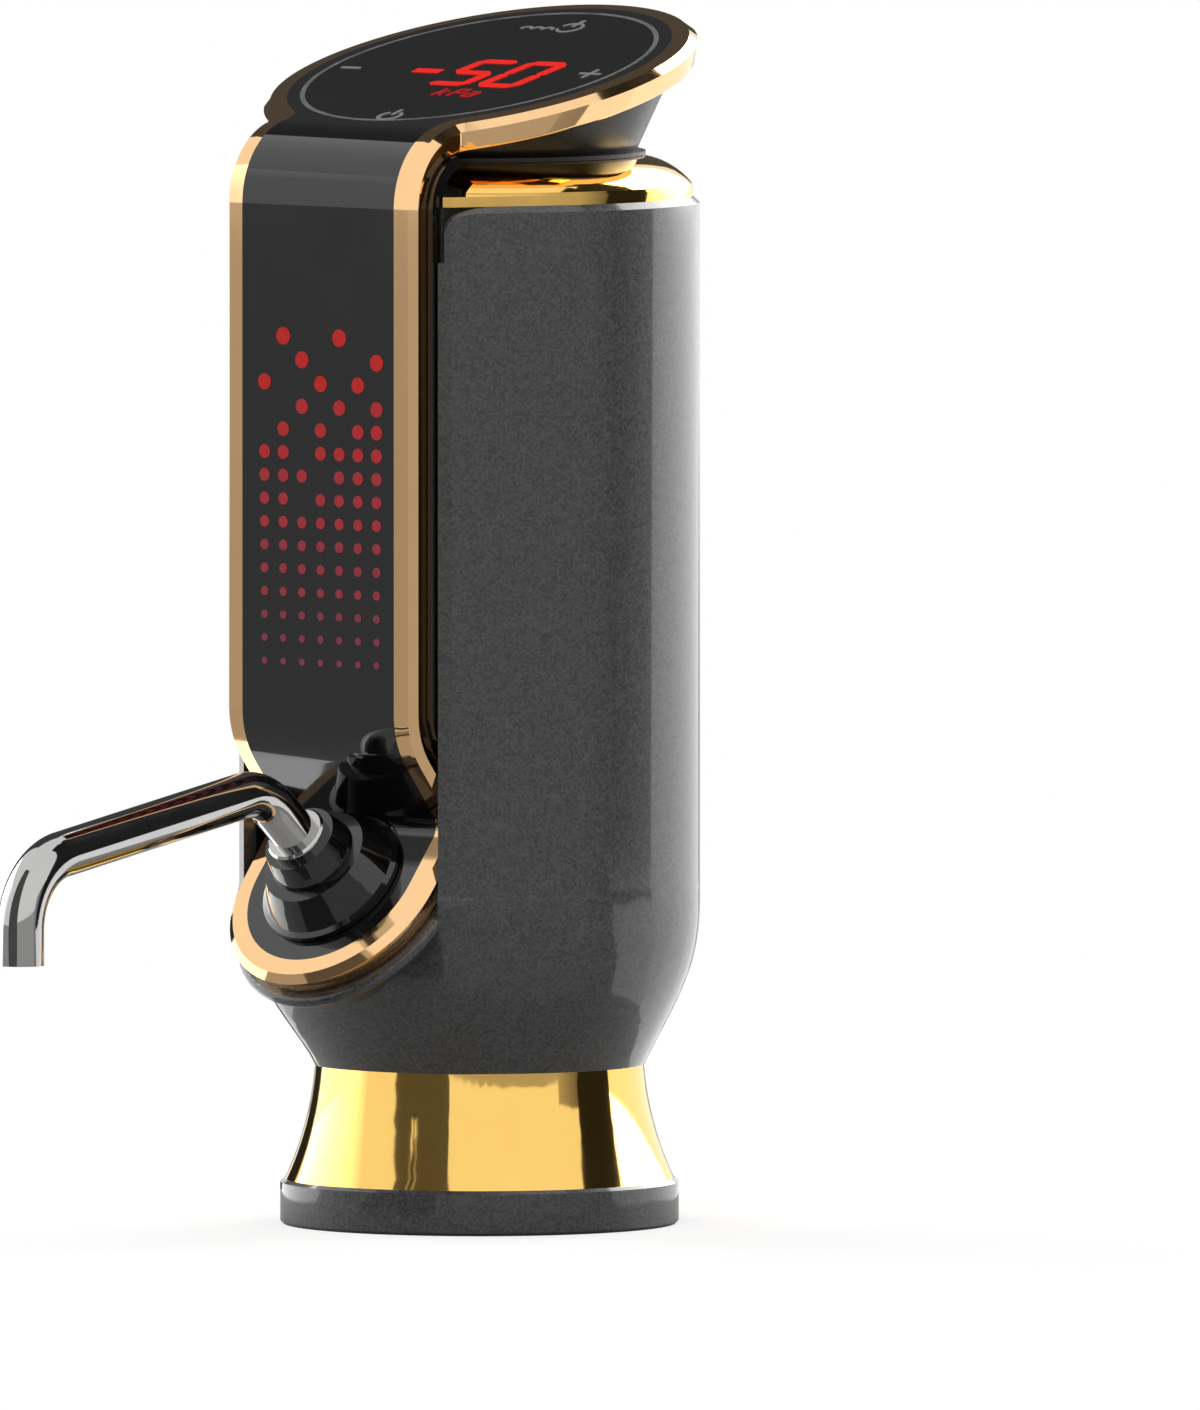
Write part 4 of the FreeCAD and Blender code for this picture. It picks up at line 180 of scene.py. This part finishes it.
# ---------------------------------------------------------------- finishes
def graphite_lacquer():
    """Dark grey lacquer with a fine metallic sparkle and a very fine orange peel."""
    paint = Paint("graphite_lacquer")
    flake = paint.cells(0.26)
    cloud = paint.noise(1.2, 3.0)
    peel = paint.noise(0.35)
    shade = paint.remap(flake * 0.6 + cloud * 0.4, 0.1, 0.9, 0.0, 1.0)
    return paint.look(
        Base_Color=paint.mix(shade, (0.034, 0.034, 0.034, 1), (0.1, 0.1, 0.101, 1)),
        Metallic=0.3,
        Specular_IOR_Level=0.25,
        Roughness=paint.remap(flake, 0, 1, 0.4, 0.5),
        Normal=paint.bump(peel, 0.01),
        Coat_Weight=1.0,
        Coat_Roughness=0.07,
    )


def mirror_gold(name, tone):
    """Polished gold plating: faint smears in the gloss and a very slow ripple."""
    paint = Paint(name)
    smear = paint.noise(7.0, 4.0, (1, 1, 0.4))
    ripple = paint.noise(9.0, 1.0)
    return paint.look(
        Base_Color=paint.mix(paint.noise(5.0), tone, scaled(tone, 0.97, 0.95, 0.92)),
        Metallic=1.0,
        Roughness=paint.remap(smear, 0.3, 0.7, 0.04, 0.08),
        Normal=paint.bump(ripple, 0.008),
    )


def piano_black():
    """Black gloss: deep and even, with faint smears that only the gloss shows."""
    paint = Paint("piano_black")
    smear = paint.noise(6.0, 4.0)
    dust = paint.cells(0.25)
    return paint.look(
        Base_Color=paint.mix(dust, grey(0.004), grey(0.0064)),
        Roughness=paint.remap(smear, 0.35, 0.7, 0.04, 0.09),
        Coat_Weight=0.5,
        Coat_Roughness=0.03,
    )


def smoked_window():
    """Smoked window over the display: black, a touch blue, glossier than the panel."""
    paint = Paint("smoked_window")
    smear = paint.noise(9.0, 3.0)
    return paint.look(
        Base_Color=paint.mix(smear, (0.006, 0.0065, 0.007, 1), (0.009, 0.0095, 0.01, 1)),
        Roughness=paint.remap(smear, 0.35, 0.7, 0.03, 0.06),
    )


def textured_cone():
    """Dark coated cone under the head, with a fine turned grain round it."""
    paint = Paint("textured_cone")
    grain = paint.noise(0.5, 2.0, (0.35, 0.35, 2.5))
    speck = paint.cells(0.2)
    return paint.look(
        Base_Color=paint.mix(speck, (0.014, 0.013, 0.012, 1), (0.03, 0.029, 0.028, 1)),
        Metallic=0.3,
        Roughness=paint.remap(grain, 0.2, 0.8, 0.26, 0.36),
        Normal=paint.bump(grain, 0.012),
    )


def polished_steel():
    """Polished stainless steel with faint drawn lines along the tube."""
    paint = Paint("polished_steel")
    drawn = paint.noise(0.4, 2.0, (3, 0.08, 0.3))
    return paint.look(
        Base_Color=paint.mix(paint.noise(4.0), (0.5, 0.495, 0.485, 1), (0.56, 0.555, 0.545, 1)),
        Metallic=1.0,
        Roughness=paint.remap(drawn, 0.3, 0.7, 0.03, 0.07),
    )


def dark_chrome():
    """Satin plating of the ring round the window."""
    paint = Paint("dark_chrome")
    return paint.look(
        Base_Color=paint.mix(paint.noise(3.0), grey(0.4), grey(0.48)),
        Metallic=1.0,
        Roughness=paint.remap(paint.noise(2.0), 0.3, 0.7, 0.36, 0.44),
    )


def lamp_red(name, colour, strength=1.0):
    """Light-emitting red, a little darker in patches; nothing mirrors in it."""
    paint = Paint(name)
    grain = paint.noise(0.5, 1.0)
    return paint.look(
        Base_Color=grey(0.004),
        Roughness=0.4,
        Specular_IOR_Level=0.0,
        Emission_Color=paint.mix(grain, scaled(colour, 0.8, 0.8, 0.8), colour),
        Emission_Strength=strength,
    )


def printed_grey():
    """Pale print of the touch signs, which glows a little."""
    paint = Paint("printed_grey")
    grain = paint.noise(0.4, 1.0)
    return paint.look(
        Base_Color=grey(0.02),
        Roughness=0.5,
        Specular_IOR_Level=0.0,
        Emission_Color=paint.mix(grain, (0.16, 0.15, 0.155, 1), (0.24, 0.225, 0.23, 1)),
        Emission_Strength=1.0,
    )


def moulded(name, low, high, roughness, grain=0.4, metallic=0.0, depth=0.01):
    """Moulded, sintered or plated stock: two near tones and a fine surface grain."""
    paint = Paint(name)
    speck = paint.noise(grain)
    return paint.look(
        Base_Color=paint.mix(speck, low, high),
        Metallic=metallic,
        Roughness=paint.remap(speck, 0.3, 0.7, roughness * 0.85, roughness * 1.15),
        Normal=paint.bump(speck, depth),
    )


def plated(name, low, high, roughness):
    """Plated or rolled metal: as moulded stock, with a smoother and finer grain."""
    return moulded(name, low, high, roughness, grain=0.3, metallic=1.0, depth=0.004)


def circuit_board():
    """Green solder mask with a faint lattice of tracks."""
    paint = Paint("circuit_board")
    track = paint.node("ShaderNodeTexBrick", {"offset": 0.5}, {
        "Vector": paint.vector("MULTIPLY", paint.position(), EVEN * 0.7 / MM), "Scale": 1.0,
        "Mortar Size": 0.06, "Color1": grey(0.0), "Color2": grey(0.25), "Mortar": grey(1.0)})
    share = paint.red(track)
    return paint.look(
        Base_Color=paint.mix(share, (0.01, 0.07, 0.03, 1), (0.03, 0.16, 0.06, 1)),
        Roughness=paint.remap(share, 0, 1, 0.3, 0.42),
    )


FINISHES = {
    "graphite": graphite_lacquer(),
    "gold": mirror_gold("mirror_gold", (1.0, 0.64, 0.18, 1)),
    "rose_gold": mirror_gold("rose_gold", (1.0, 0.645, 0.33, 1)),
    "black_gloss": piano_black(),
    "black_window": smoked_window(),
    "bezel": dark_chrome(),
    "head_cone": textured_cone(),
    "steel": polished_steel(),
    "silicone": moulded("milky_silicone", (0.62, 0.62, 0.6, 1), (0.72, 0.72, 0.7, 1), 0.45),
    "seal": moulded("black_rubber", grey(0.012), grey(0.02), 0.6),
    "inner_plastic": moulded("grey_nylon", grey(0.3), grey(0.36), 0.5),
    "pump_plastic": moulded("white_acetal", grey(0.62), grey(0.7), 0.42),
    "board": circuit_board(),
    "chip": moulded("chip_epoxy", grey(0.012), grey(0.022), 0.5),
    "light": lamp_red("light_body", (0.5, 0.03, 0.02, 1), strength=0.4),
    "cell_wrap": moulded("cell_wrap", (0.02, 0.06, 0.22, 1), (0.03, 0.09, 0.28, 1), 0.3),
    "nickel": plated("nickel_plate", grey(0.5), grey(0.58), 0.25),
    "motor_steel": plated("zinc_steel", grey(0.42), grey(0.5), 0.32),
    "magnet": moulded("ferrite", grey(0.03), grey(0.05), 0.6, grain=0.2),
    "bronze": moulded("sintered_bronze", (0.3, 0.16, 0.07, 1), (0.4, 0.22, 0.1, 1), 0.4,
                      grain=0.2, metallic=1.0),
    "copper": moulded("enamelled_copper", (0.4, 0.14, 0.06, 1), (0.55, 0.2, 0.09, 1), 0.3,
                      grain=0.3, metallic=1.0),
}


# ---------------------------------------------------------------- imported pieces
WELD_REACH = 0.002 * MM
CREASE_ANGLE = math.radians(28.0)
FACE_WEIGHT = 100                 # large flat faces keep their own direction up to their edges
OWN_FINISH = {"gold_trim": "rose_gold"}          # the trim's gold is pinker than the skirt's


def dress(node):
    """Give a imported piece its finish, and shade it smooth between its creases."""
    piece = NODES[node]
    piece.data.materials.clear()
    piece.data.materials.append(FINISHES[OWN_FINISH.get(node, SLOTS[node])])
    for face in piece.data.polygons:
        face.use_smooth = True
    weld = piece.modifiers.new("weld", "WELD")
    weld.merge_threshold = WELD_REACH
    creases = piece.modifiers.new("creases", "EDGE_SPLIT")
    creases.split_angle = CREASE_ANGLE
    flats = piece.modifiers.new("flats", "WEIGHTED_NORMAL")
    flats.weight = FACE_WEIGHT
    flats.keep_sharp = True


# ---------------------------------------------------------------- new pieces
def new_object(name, mesh, material):
    """Turn a bmesh, in metres in the row's frame, into an object of the scene."""
    data = bpy.data.meshes.new(name)
    mesh.to_mesh(data)
    mesh.free()
    data.materials.append(material)
    made = bpy.data.objects.new(name, data)
    bpy.context.scene.collection.objects.link(made)
    return made


def finished(name, mesh, material):
    """A new piece on the casing, its faces turned outwards."""
    bmesh.ops.recalc_face_normals(mesh, faces=mesh.faces)
    piece = new_object(name, mesh, material)
    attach(piece, "casing")
    return piece


def extrude(mesh, faces, reach):
    """Give flat faces a thickness along reach."""
    grown = bmesh.ops.extrude_face_region(mesh, geom=faces)["geom"]
    points = [item for item in grown if isinstance(item, bmesh.types.BMVert)]
    bmesh.ops.translate(mesh, verts=points, vec=reach)


# ---------------------------------------------------------------- signs on the window
# A sign is drawn in millimetres on a flat sheet, with x to the right and y to the back.
HEAD_TILT = math.radians(15.0)
HEAD_CENTRE = Vector((0, 0, 126.0)) * MM
HEAD_NORMAL = Vector((0, -math.sin(HEAD_TILT), math.cos(HEAD_TILT)))
HEAD_BACK = Vector((0, math.cos(HEAD_TILT), math.sin(HEAD_TILT)))
SIGN_LIFT = 0.02 * MM
SIGN_THICKNESS = 0.06 * MM

FIGURE_WIDTH, FIGURE_HEIGHT = 4.5, 8.0
FIGURE_STROKE = 1.25
FIGURE_LEAN = 0.12
FIGURE_GAP = 0.3                  # between a segment's end and its corner, in stroke widths
FIGURE_PLACES = (-2.1, 4.85)      # left edges of the two figures
FIGURE_MINUS = (-8.2, -4.5)       # ends of the minus before them
FIGURES_MIDDLE = (0.9, -2.3)

UNIT_HEIGHT = 2.3
UNIT_STROKE = 0.34
UNIT_LEAN = 0.2
UNIT_CORNER = (1.65, -10.4)

KEY_STROKE = 0.42
FINE_STROKE = KEY_STROKE * 0.8
MINUS_STROKE = 0.5
MINUS_MIDDLE, MINUS_HALF = Vector((-16.4, -2.3)), Vector((1.3, 0))
PLUS_MIDDLE, PLUS_HALF = Vector((16.55, -1.0)), 1.45
POWER_MIDDLE, POWER_RADIUS = Vector((1.95, -18.0)), 1.32
CUP_MIDDLE, CUP_RADIUS = Vector((1.3, 14.3)), 1.5
KEY_BAR_FOOT = 0.4                # above the middle of its ring
POWER_BAR_TOP, CUP_BAR_TOP = 2.15, 2.6
WAVES, WAVE_START, WAVE_PITCH, WAVE_RADIUS = 3, Vector((-4.3, 13.4)), 1.5, 0.72

SEGMENTS = {  # ends of each segment, in widths to the right and half heights up
    "a": ((0, 2), (1, 2)), "b": ((1, 2), (1, 1)), "c": ((1, 1), (1, 0)), "d": ((0, 0), (1, 0)),
    "e": ((0, 1), (0, 0)), "f": ((0, 2), (0, 1)), "g": ((0, 1), (1, 1)),
}


def stroke(mesh, start, finish, width, lean=0.0, pointed=False):
    """A bar between two points of a sign; lean slants it like an italic."""
    start = Vector((start[0] + start[1] * lean, start[1], 0))
    finish = Vector((finish[0] + finish[1] * lean, finish[1], 0))
    along = (finish - start).normalized()
    side = Vector((-along.y, along.x, 0)) * (width / 2)
    ring = [start - side, finish - side, finish + side, start + side]
    if pointed:
        tip = along * (width / 2)
        ring = [start - tip, *ring[:2], finish + tip, *ring[2:]]
    face = mesh.faces.new([mesh.verts.new(point) for point in ring])
    extrude(mesh, [face], (0, 0, SIGN_THICKNESS / MM))


def strokes(mesh, points, width, lean=0.0):
    """Bars from each point to the next."""
    for start, finish in zip(points, points[1:]):
        stroke(mesh, start, finish, width, lean)


def arc(middle, radius, first, last, count):
    """Points along an arc, from one angle in degrees to another."""
    angles = [math.radians(first + (last - first) * step / count) for step in range(count + 1)]
    return [middle + radius * Vector((math.cos(angle), math.sin(angle))) for angle in angles]


def on_window(name, mesh, place, material):
    """Lay a sign on the window, its origin at place from the window's middle."""
    middle = HEAD_CENTRE + (RIGHT * place[0] + HEAD_BACK * place[1]) * MM
    rows = Matrix((RIGHT, HEAD_BACK, HEAD_NORMAL)).transposed().to_4x4()
    mesh.transform(Matrix.Translation(middle + HEAD_NORMAL * SIGN_LIFT) @ rows
                   @ Matrix.Scale(MM, 4))
    finished(name, mesh, material)


def figure(mesh, lit, left):
    """Seven-segment figure; lit names the segments that show."""
    foot = -FIGURE_HEIGHT / 2
    for name in lit:
        start, finish = [Vector((left + across * FIGURE_WIDTH, foot + up * FIGURE_HEIGHT / 2))
                         for across, up in SEGMENTS[name]]
        ease = (finish - start).normalized() * FIGURE_STROKE * FIGURE_GAP
        stroke(mesh, start + ease, finish - ease, FIGURE_STROKE, FIGURE_LEAN, pointed=True)


def display_figures():
    """Pressure reading: minus, five, nought."""
    mesh = bmesh.new()
    strokes(mesh, [(end, 0) for end in FIGURE_MINUS], FIGURE_STROKE, FIGURE_LEAN)
    for lit, left in zip(("afgcd", "abcdef"), FIGURE_PLACES):
        figure(mesh, lit, left)
    red = lamp_red("reading_red", (0.95, 0.028, 0.022, 1))
    on_window("display_figures", mesh, FIGURES_MIDDLE, red)


def display_unit():
    """The unit of pressure, kPa, in small strokes under the reading."""
    mesh = bmesh.new()
    lines = [                     # three for the k, then one each for the P and the a
        [(0.0, 0.0), (0.0, UNIT_HEIGHT)],
        [(0.1, 0.75), (1.1, 1.6)],
        [(0.35, 0.95), (1.15, 0.0)],
        [(2.1, 0.0), (2.1, UNIT_HEIGHT), (3.3, UNIT_HEIGHT), (3.3, 1.15), (2.1, 1.15)],
        [(4.3, 1.6), (5.4, 1.6), (5.4, 0.0), (4.2, 0.0), (4.2, 0.85), (5.4, 0.85)],
    ]
    for line in lines:
        strokes(mesh, line, UNIT_STROKE, UNIT_LEAN)
    red = lamp_red("unit_red", (0.5, 0.018, 0.02, 1))
    on_window("display_unit", mesh, UNIT_CORNER, red)


def key_bar(mesh, middle, top):
    """The upright bar in a key's open ring."""
    stroke(mesh, middle + Vector((0, KEY_BAR_FOOT)), middle + Vector((0, top)), KEY_STROKE)


def touch_signs():
    """Printed signs of the four touch keys: minus, plus, power, and a jet with its cup."""
    mesh = bmesh.new()
    stroke(mesh, MINUS_MIDDLE - MINUS_HALF, MINUS_MIDDLE + MINUS_HALF, MINUS_STROKE)
    for half in (Vector((PLUS_HALF, 0)), Vector((0, PLUS_HALF))):
        stroke(mesh, PLUS_MIDDLE - half, PLUS_MIDDLE + half, KEY_STROKE)
    strokes(mesh, arc(POWER_MIDDLE, POWER_RADIUS, first=125, last=415, count=12), KEY_STROKE)
    key_bar(mesh, POWER_MIDDLE, POWER_BAR_TOP)
    for step in range(WAVES):
        wave = WAVE_START + Vector((WAVE_PITCH * step, 0))
        strokes(mesh, arc(wave, WAVE_RADIUS, first=180, last=0, count=4), FINE_STROKE)
    strokes(mesh, arc(CUP_MIDDLE, CUP_RADIUS, first=200, last=520, count=10), FINE_STROKE)
    key_bar(mesh, CUP_MIDDLE, CUP_BAR_TOP)
    on_window("touch_signs", mesh, (0, 0), printed_grey())


# ---------------------------------------------------------------- lights on the ribbon
LIGHTS_BEHIND = 1.8 * MM          # from the ribbon's face back to the lights
COLUMNS, ROWS = 7, 15
FULL_ROW = "1234567"              # columns that are lit
UPPER_ROWS = ["25", "37", "146", "357", "2467", "124567", "123567", "124567"]
BANDS = 5                         # pieces, each of one colour
SPOT_EDGE = 0.6 * MM              # from the field's edge to a spot's middle
SPOT_SHIFT = 0.4 * MM             # of the whole field to the right
SPOT_DIAMETER = 1.92 * MM         # in the top row
SPOT_SHRINK = 0.083 * MM          # from each row to the next
SPOT_SIDES = 20
TOP_RED = Vector((0.46, 0.028, 0.025))
FOOT_RED = Vector((0.2, 0.046, 0.065))


def light_field():
    """Round spots where the lights show through the ribbon: scattered and large at the top,
    full rows that shrink and dim towards the foot."""
    low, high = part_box("matrix_lights")
    face = low.y - LIGHTS_BEHIND - SIGN_LIFT
    left = low.x + SPOT_EDGE + SPOT_SHIFT
    top = high.z - SPOT_EDGE
    pitch = Vector((high.x - low.x - 2 * SPOT_EDGE, 0, high.z - low.z - 2 * SPOT_EDGE))
    pitch.x /= COLUMNS - 1
    pitch.z /= ROWS - 1
    lit = UPPER_ROWS + [FULL_ROW] * (ROWS - len(UPPER_ROWS))
    for band in range(BANDS):
        mesh = bmesh.new()
        for row in range(ROWS * band // BANDS, ROWS * (band + 1) // BANDS):
            diameter = SPOT_DIAMETER - SPOT_SHRINK * row
            for column in lit[row]:
                where = Vector((left + (int(column) - 1) * pitch.x, face, top - row * pitch.z))
                spot = bmesh.ops.create_circle(mesh, cap_ends=True, segments=SPOT_SIDES,
                                               radius=diameter / 2)["verts"]
                bmesh.ops.rotate(mesh, verts=spot, cent=(0, 0, 0),
                                 matrix=Matrix.Rotation(math.pi / 2, 3, "X"))
                bmesh.ops.translate(mesh, verts=spot, vec=where)
        extrude(mesh, list(mesh.faces), (0, -SIGN_THICKNESS, 0))
        colour = TOP_RED.lerp(FOOT_RED, band / (BANDS - 1))
        red = lamp_red(f"spot_red_{band + 1}", (*colour, 1))
        finished(f"light_spots_{band + 1}", mesh, red)


# ---------------------------------------------------------------- valve's return spring
SPRING_WIRE = 0.3 * MM
SPRING_TURNS = 3
SPRING_STEPS = 20                 # to a turn


def return_spring():
    """Spring behind the solenoid's plunger, of square wire."""
    low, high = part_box("plunger_spring")
    axis = (low + high) / 2
    radius = (high.y - low.y - SPRING_WIRE) / 2
    length = high.x - low.x
    mesh = bmesh.new()
    section = bmesh.ops.create_grid(mesh, x_segments=1, y_segments=1, size=SPRING_WIRE / 2)
    bmesh.ops.translate(mesh, verts=section["verts"],
                        vec=(low.x + SPRING_WIRE / 2, axis.y + radius, axis.z))
    steps = SPRING_TURNS * SPRING_STEPS
    bmesh.ops.spin(mesh, geom=mesh.verts[:] + mesh.edges[:] + mesh.faces[:],
                   cent=(low.x, axis.y, axis.z), axis=(1, 0, 0), angle=math.tau * SPRING_TURNS,
                   steps=steps, dvec=((length - SPRING_WIRE) / steps, 0, 0))
    spring = finished("return_spring", mesh, FINISHES["steel"])
    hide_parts("plunger_spring")
    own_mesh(spring)


# ---------------------------------------------------------------- stage
STAGE_MIDDLE = Vector((0, 0, 0.07))
FLOOR_HALF = 12.0
SHADOW_KEPT, SHADOW_GONE = 0.1, 0.4       # distances from the axis between which it fades
MIRRORED_FROM, MIRRORED_WHITE = 0.9, 1.6  # where the floor turns white in reflections
FLOOR_GLOW = 0.65
CARD_FOOT = 0.055                 # distance from the axis to the inner edge of a card's foot
CARD_LIFT = 0.0003
WORLD_LIGHT = 0.5                 # share of the white world that lights matt surfaces


def toward(azimuth):
    """Level direction from the axis; azimuth 0 is the front, 90 the right side."""
    angle = math.radians(azimuth)
    return Vector((math.sin(angle), -math.cos(angle), 0))


def stand(name, corners, material):
    """One flat face of the stage."""
    mesh = bmesh.new()
    mesh.faces.new([mesh.verts.new(corner) for corner in corners])
    face = new_object(name, mesh, material)
    return face


def build_floor():
    """Pale floor that keeps the shadow near the object; farther out the camera and reflections
    see it plain white."""
    paint = Paint("pale_floor")
    flat = paint.vector("MULTIPLY", paint.position(), (1, 1, 0))
    away = paint.vector("LENGTH", flat, output="Value")
    camera, mirror, clear = [paint.node("ShaderNodeLightPath", output=kind)
                             for kind in ("Is Camera Ray", "Is Glossy Ray",
                                          "Is Transmission Ray")]
    far = (paint.remap(away, SHADOW_KEPT, SHADOW_GONE, 0, 1) * (camera + clear)
           + paint.remap(away, MIRRORED_FROM, MIRRORED_WHITE, 0, 1) * mirror)
    glow = far + (1 - far) * camera * FLOOR_GLOW
    paint.look(
        Base_Color=paint.mix(far, grey(0.4), grey(0)),
        Roughness=0.9,
        Specular_IOR_Level=0.0,
        Emission_Color=paint.mix(glow, grey(0), grey(1)),
        Emission_Strength=1.0,
    )
    half = FLOOR_HALF
    stand("floor", [(-half, -half, 0), (half, -half, 0), (half, half, 0), (-half, half, 0)],
          paint.material)


def build_world():
    """Even white surroundings, dimmer where they light a matt surface."""
    world = bpy.data.worlds.new("studio")
    bpy.context.scene.world = world
    world.use_nodes = True
    tree = world.node_tree
    tree.nodes.clear()
    path = tree.nodes.new("ShaderNodeLightPath")
    strength = tree.nodes.new("ShaderNodeMapRange")
    tree.links.new(path.outputs["Is Diffuse Ray"], strength.inputs["Value"])
    strength.inputs["To Min"].default_value = 1.0
    strength.inputs["To Max"].default_value = WORLD_LIGHT
    shell = tree.nodes.new("ShaderNodeBackground")
    shell.inputs["Color"].default_value = (1, 1, 1, 1)
    tree.links.new(strength.outputs[0], shell.inputs["Strength"])
    output = tree.nodes.new("ShaderNodeOutputWorld")
    tree.links.new(shell.outputs[0], output.inputs["Surface"])


def soft_box(name, azimuth, elevation, reach, width, height, level):
    """Rectangular lamp of a given radiance that faces the object; reflections don't see it."""
    light = bpy.data.lights.new(name, "AREA")
    light.shape = "RECTANGLE"
    light.size = width
    light.size_y = height
    light.energy = level * math.pi * width * height
    holder = bpy.data.objects.new(name, light)
    rise = math.radians(elevation)
    away = toward(azimuth) * math.cos(rise) + Vector((0, 0, math.sin(rise)))
    holder.location = STAGE_MIDDLE + away * reach
    holder.rotation_euler = away.to_track_quat("Z", "Y").to_euler()
    holder.visible_glossy = False
    bpy.context.scene.collection.objects.link(holder)


def build_lamps():
    """A wide lamp at the back, one at the left, and a high one in front."""
    soft_box("right_box", azimuth=172, elevation=18.8, reach=1.0,
             width=0.96, height=0.47, level=4.0)
    soft_box("left_box", azimuth=-84, elevation=20, reach=0.85,
             width=0.8, height=0.66, level=2.8)
    soft_box("key_light", azimuth=25, elevation=50, reach=1.2,
             width=0.7, height=0.7, level=2.2)


def card(name, azimuths, elevations, level, far_level=None, reach=0.6):
    """Upright card between two azimuths and two elevations that only reflections see; its
    glow runs from level at its first edge to far_level at its last. A card that starts below
    the floor has a foot that lies along the floor, towards the object."""
    start, finish = [toward(azimuth) * reach for azimuth in azimuths]
    low, high = [STAGE_MIDDLE.z + reach * math.tan(math.radians(rise)) for rise in elevations]
    along = (finish - start) / (finish - start).length_squared
    paint = Paint(name)
    share = paint.vector("DOT_PRODUCT", paint.position(), along, "Value") - start.dot(along)
    ends = grey(level), grey(level if far_level is None else far_level)
    paint.look(
        Base_Color=grey(0),
        Roughness=1.0,
        Specular_IOR_Level=0.0,
        Emission_Color=paint.mix(share, *ends),
        Emission_Strength=1.0,
    )
    sheets = {name: [(start.x, start.y, low), (finish.x, finish.y, low),
                     (finish.x, finish.y, high), (start.x, start.y, high)]}
    if low < 0:
        inner = CARD_FOOT / reach
        corners = [start * inner, finish * inner, finish, start]
        sheets[name + "_foot"] = [(corner.x, corner.y, CARD_LIFT) for corner in corners]
    for sheet, corners in sheets.items():
        made = stand(sheet, corners, paint.material)
        made.visible_camera = False
        made.visible_diffuse = False
        made.visible_transmission = False
        made.visible_shadow = False


def build_cards():
    """White, grey and black cards that draw the bands in metal and gloss, from the left round
    by the front and the right to the back: azimuths, elevations and glow."""
    card("card_left_low", (-103, -52), (-10, 0), 2.1)
    card("card_left", (-102, -45), (-1.5, 32), 4.5, far_level=1.1, reach=1.4)
    card("card_front_left", (-52, -19), (-10, 0), 0.42, far_level=0.36, reach=1.0)
    card("card_front", (-19, 19), (-10, 60), 0.1)
    card("card_front_right", (19, 96), (-10, 2), 0.45)
    card("card_side_low", (96, 112), (-10, 8), 0.45, far_level=0.15)
    card("card_side", (112, 141), (-6.5, 65), 0.02)
    card("card_side_foot", (112, 141), (-10, -6.6), 1.1)
    card("card_right_low", (141, 203), (-10, 1.5), 1.25)
    card("card_right", (141, 203), (-2.5, 50), 5.5, reach=1.0)
    card("card_right_high", (141, 163), (30, 62), 0.03)
    card("card_back_left", (207, 257), (8, 62), 0.07)
    card("card_back_low", (238, 256), (-10, 10), 0.02)


# ---------------------------------------------------------------- camera
VIEW_AZIMUTH = math.radians(40.0)
VIEW_ELEVATION = math.radians(3.5)
VIEW_DISTANCE = 6.0
VIEW_LIMIT = 20.0
VIEW_HEIGHT = 153.5 * MM          # height of the picture at the object
VIEW_ACROSS = 13.12 * MM          # the picture's middle, to the right of the origin
VIEW_UP = 56.33 * MM              # and above it
SENSOR = 36.0


def build_camera():
    """Long lens from the front right, a little above the base."""
    sine, cosine = math.sin(VIEW_AZIMUTH), math.cos(VIEW_AZIMUTH)
    lift, level = math.sin(VIEW_ELEVATION), math.cos(VIEW_ELEVATION)
    back = Vector((sine * level, -cosine * level, lift))
    across = Vector((cosine, sine, 0))
    up = Vector((-sine * lift, cosine * lift, level))
    place = across * VIEW_ACROSS + up * VIEW_UP + back * VIEW_DISTANCE
    data = bpy.data.cameras.new("camera")
    data.sensor_width = SENSOR
    data.lens = SENSOR * VIEW_DISTANCE / VIEW_HEIGHT
    data.clip_end = VIEW_LIMIT
    camera = bpy.data.objects.new("camera", data)
    turn = Matrix((across, up, back)).transposed().to_4x4()
    camera.matrix_world = Matrix.Translation(place) @ turn
    bpy.context.scene.collection.objects.link(camera)
    bpy.context.scene.camera = camera


# ---------------------------------------------------------------- build
for node in NODES:
    dress(node)
display_figures()
display_unit()
touch_signs()
light_field()
return_spring()
build_floor()
build_world()
build_lamps()
build_cards()
build_camera()
bpy.context.scene.view_settings.view_transform = "Standard"
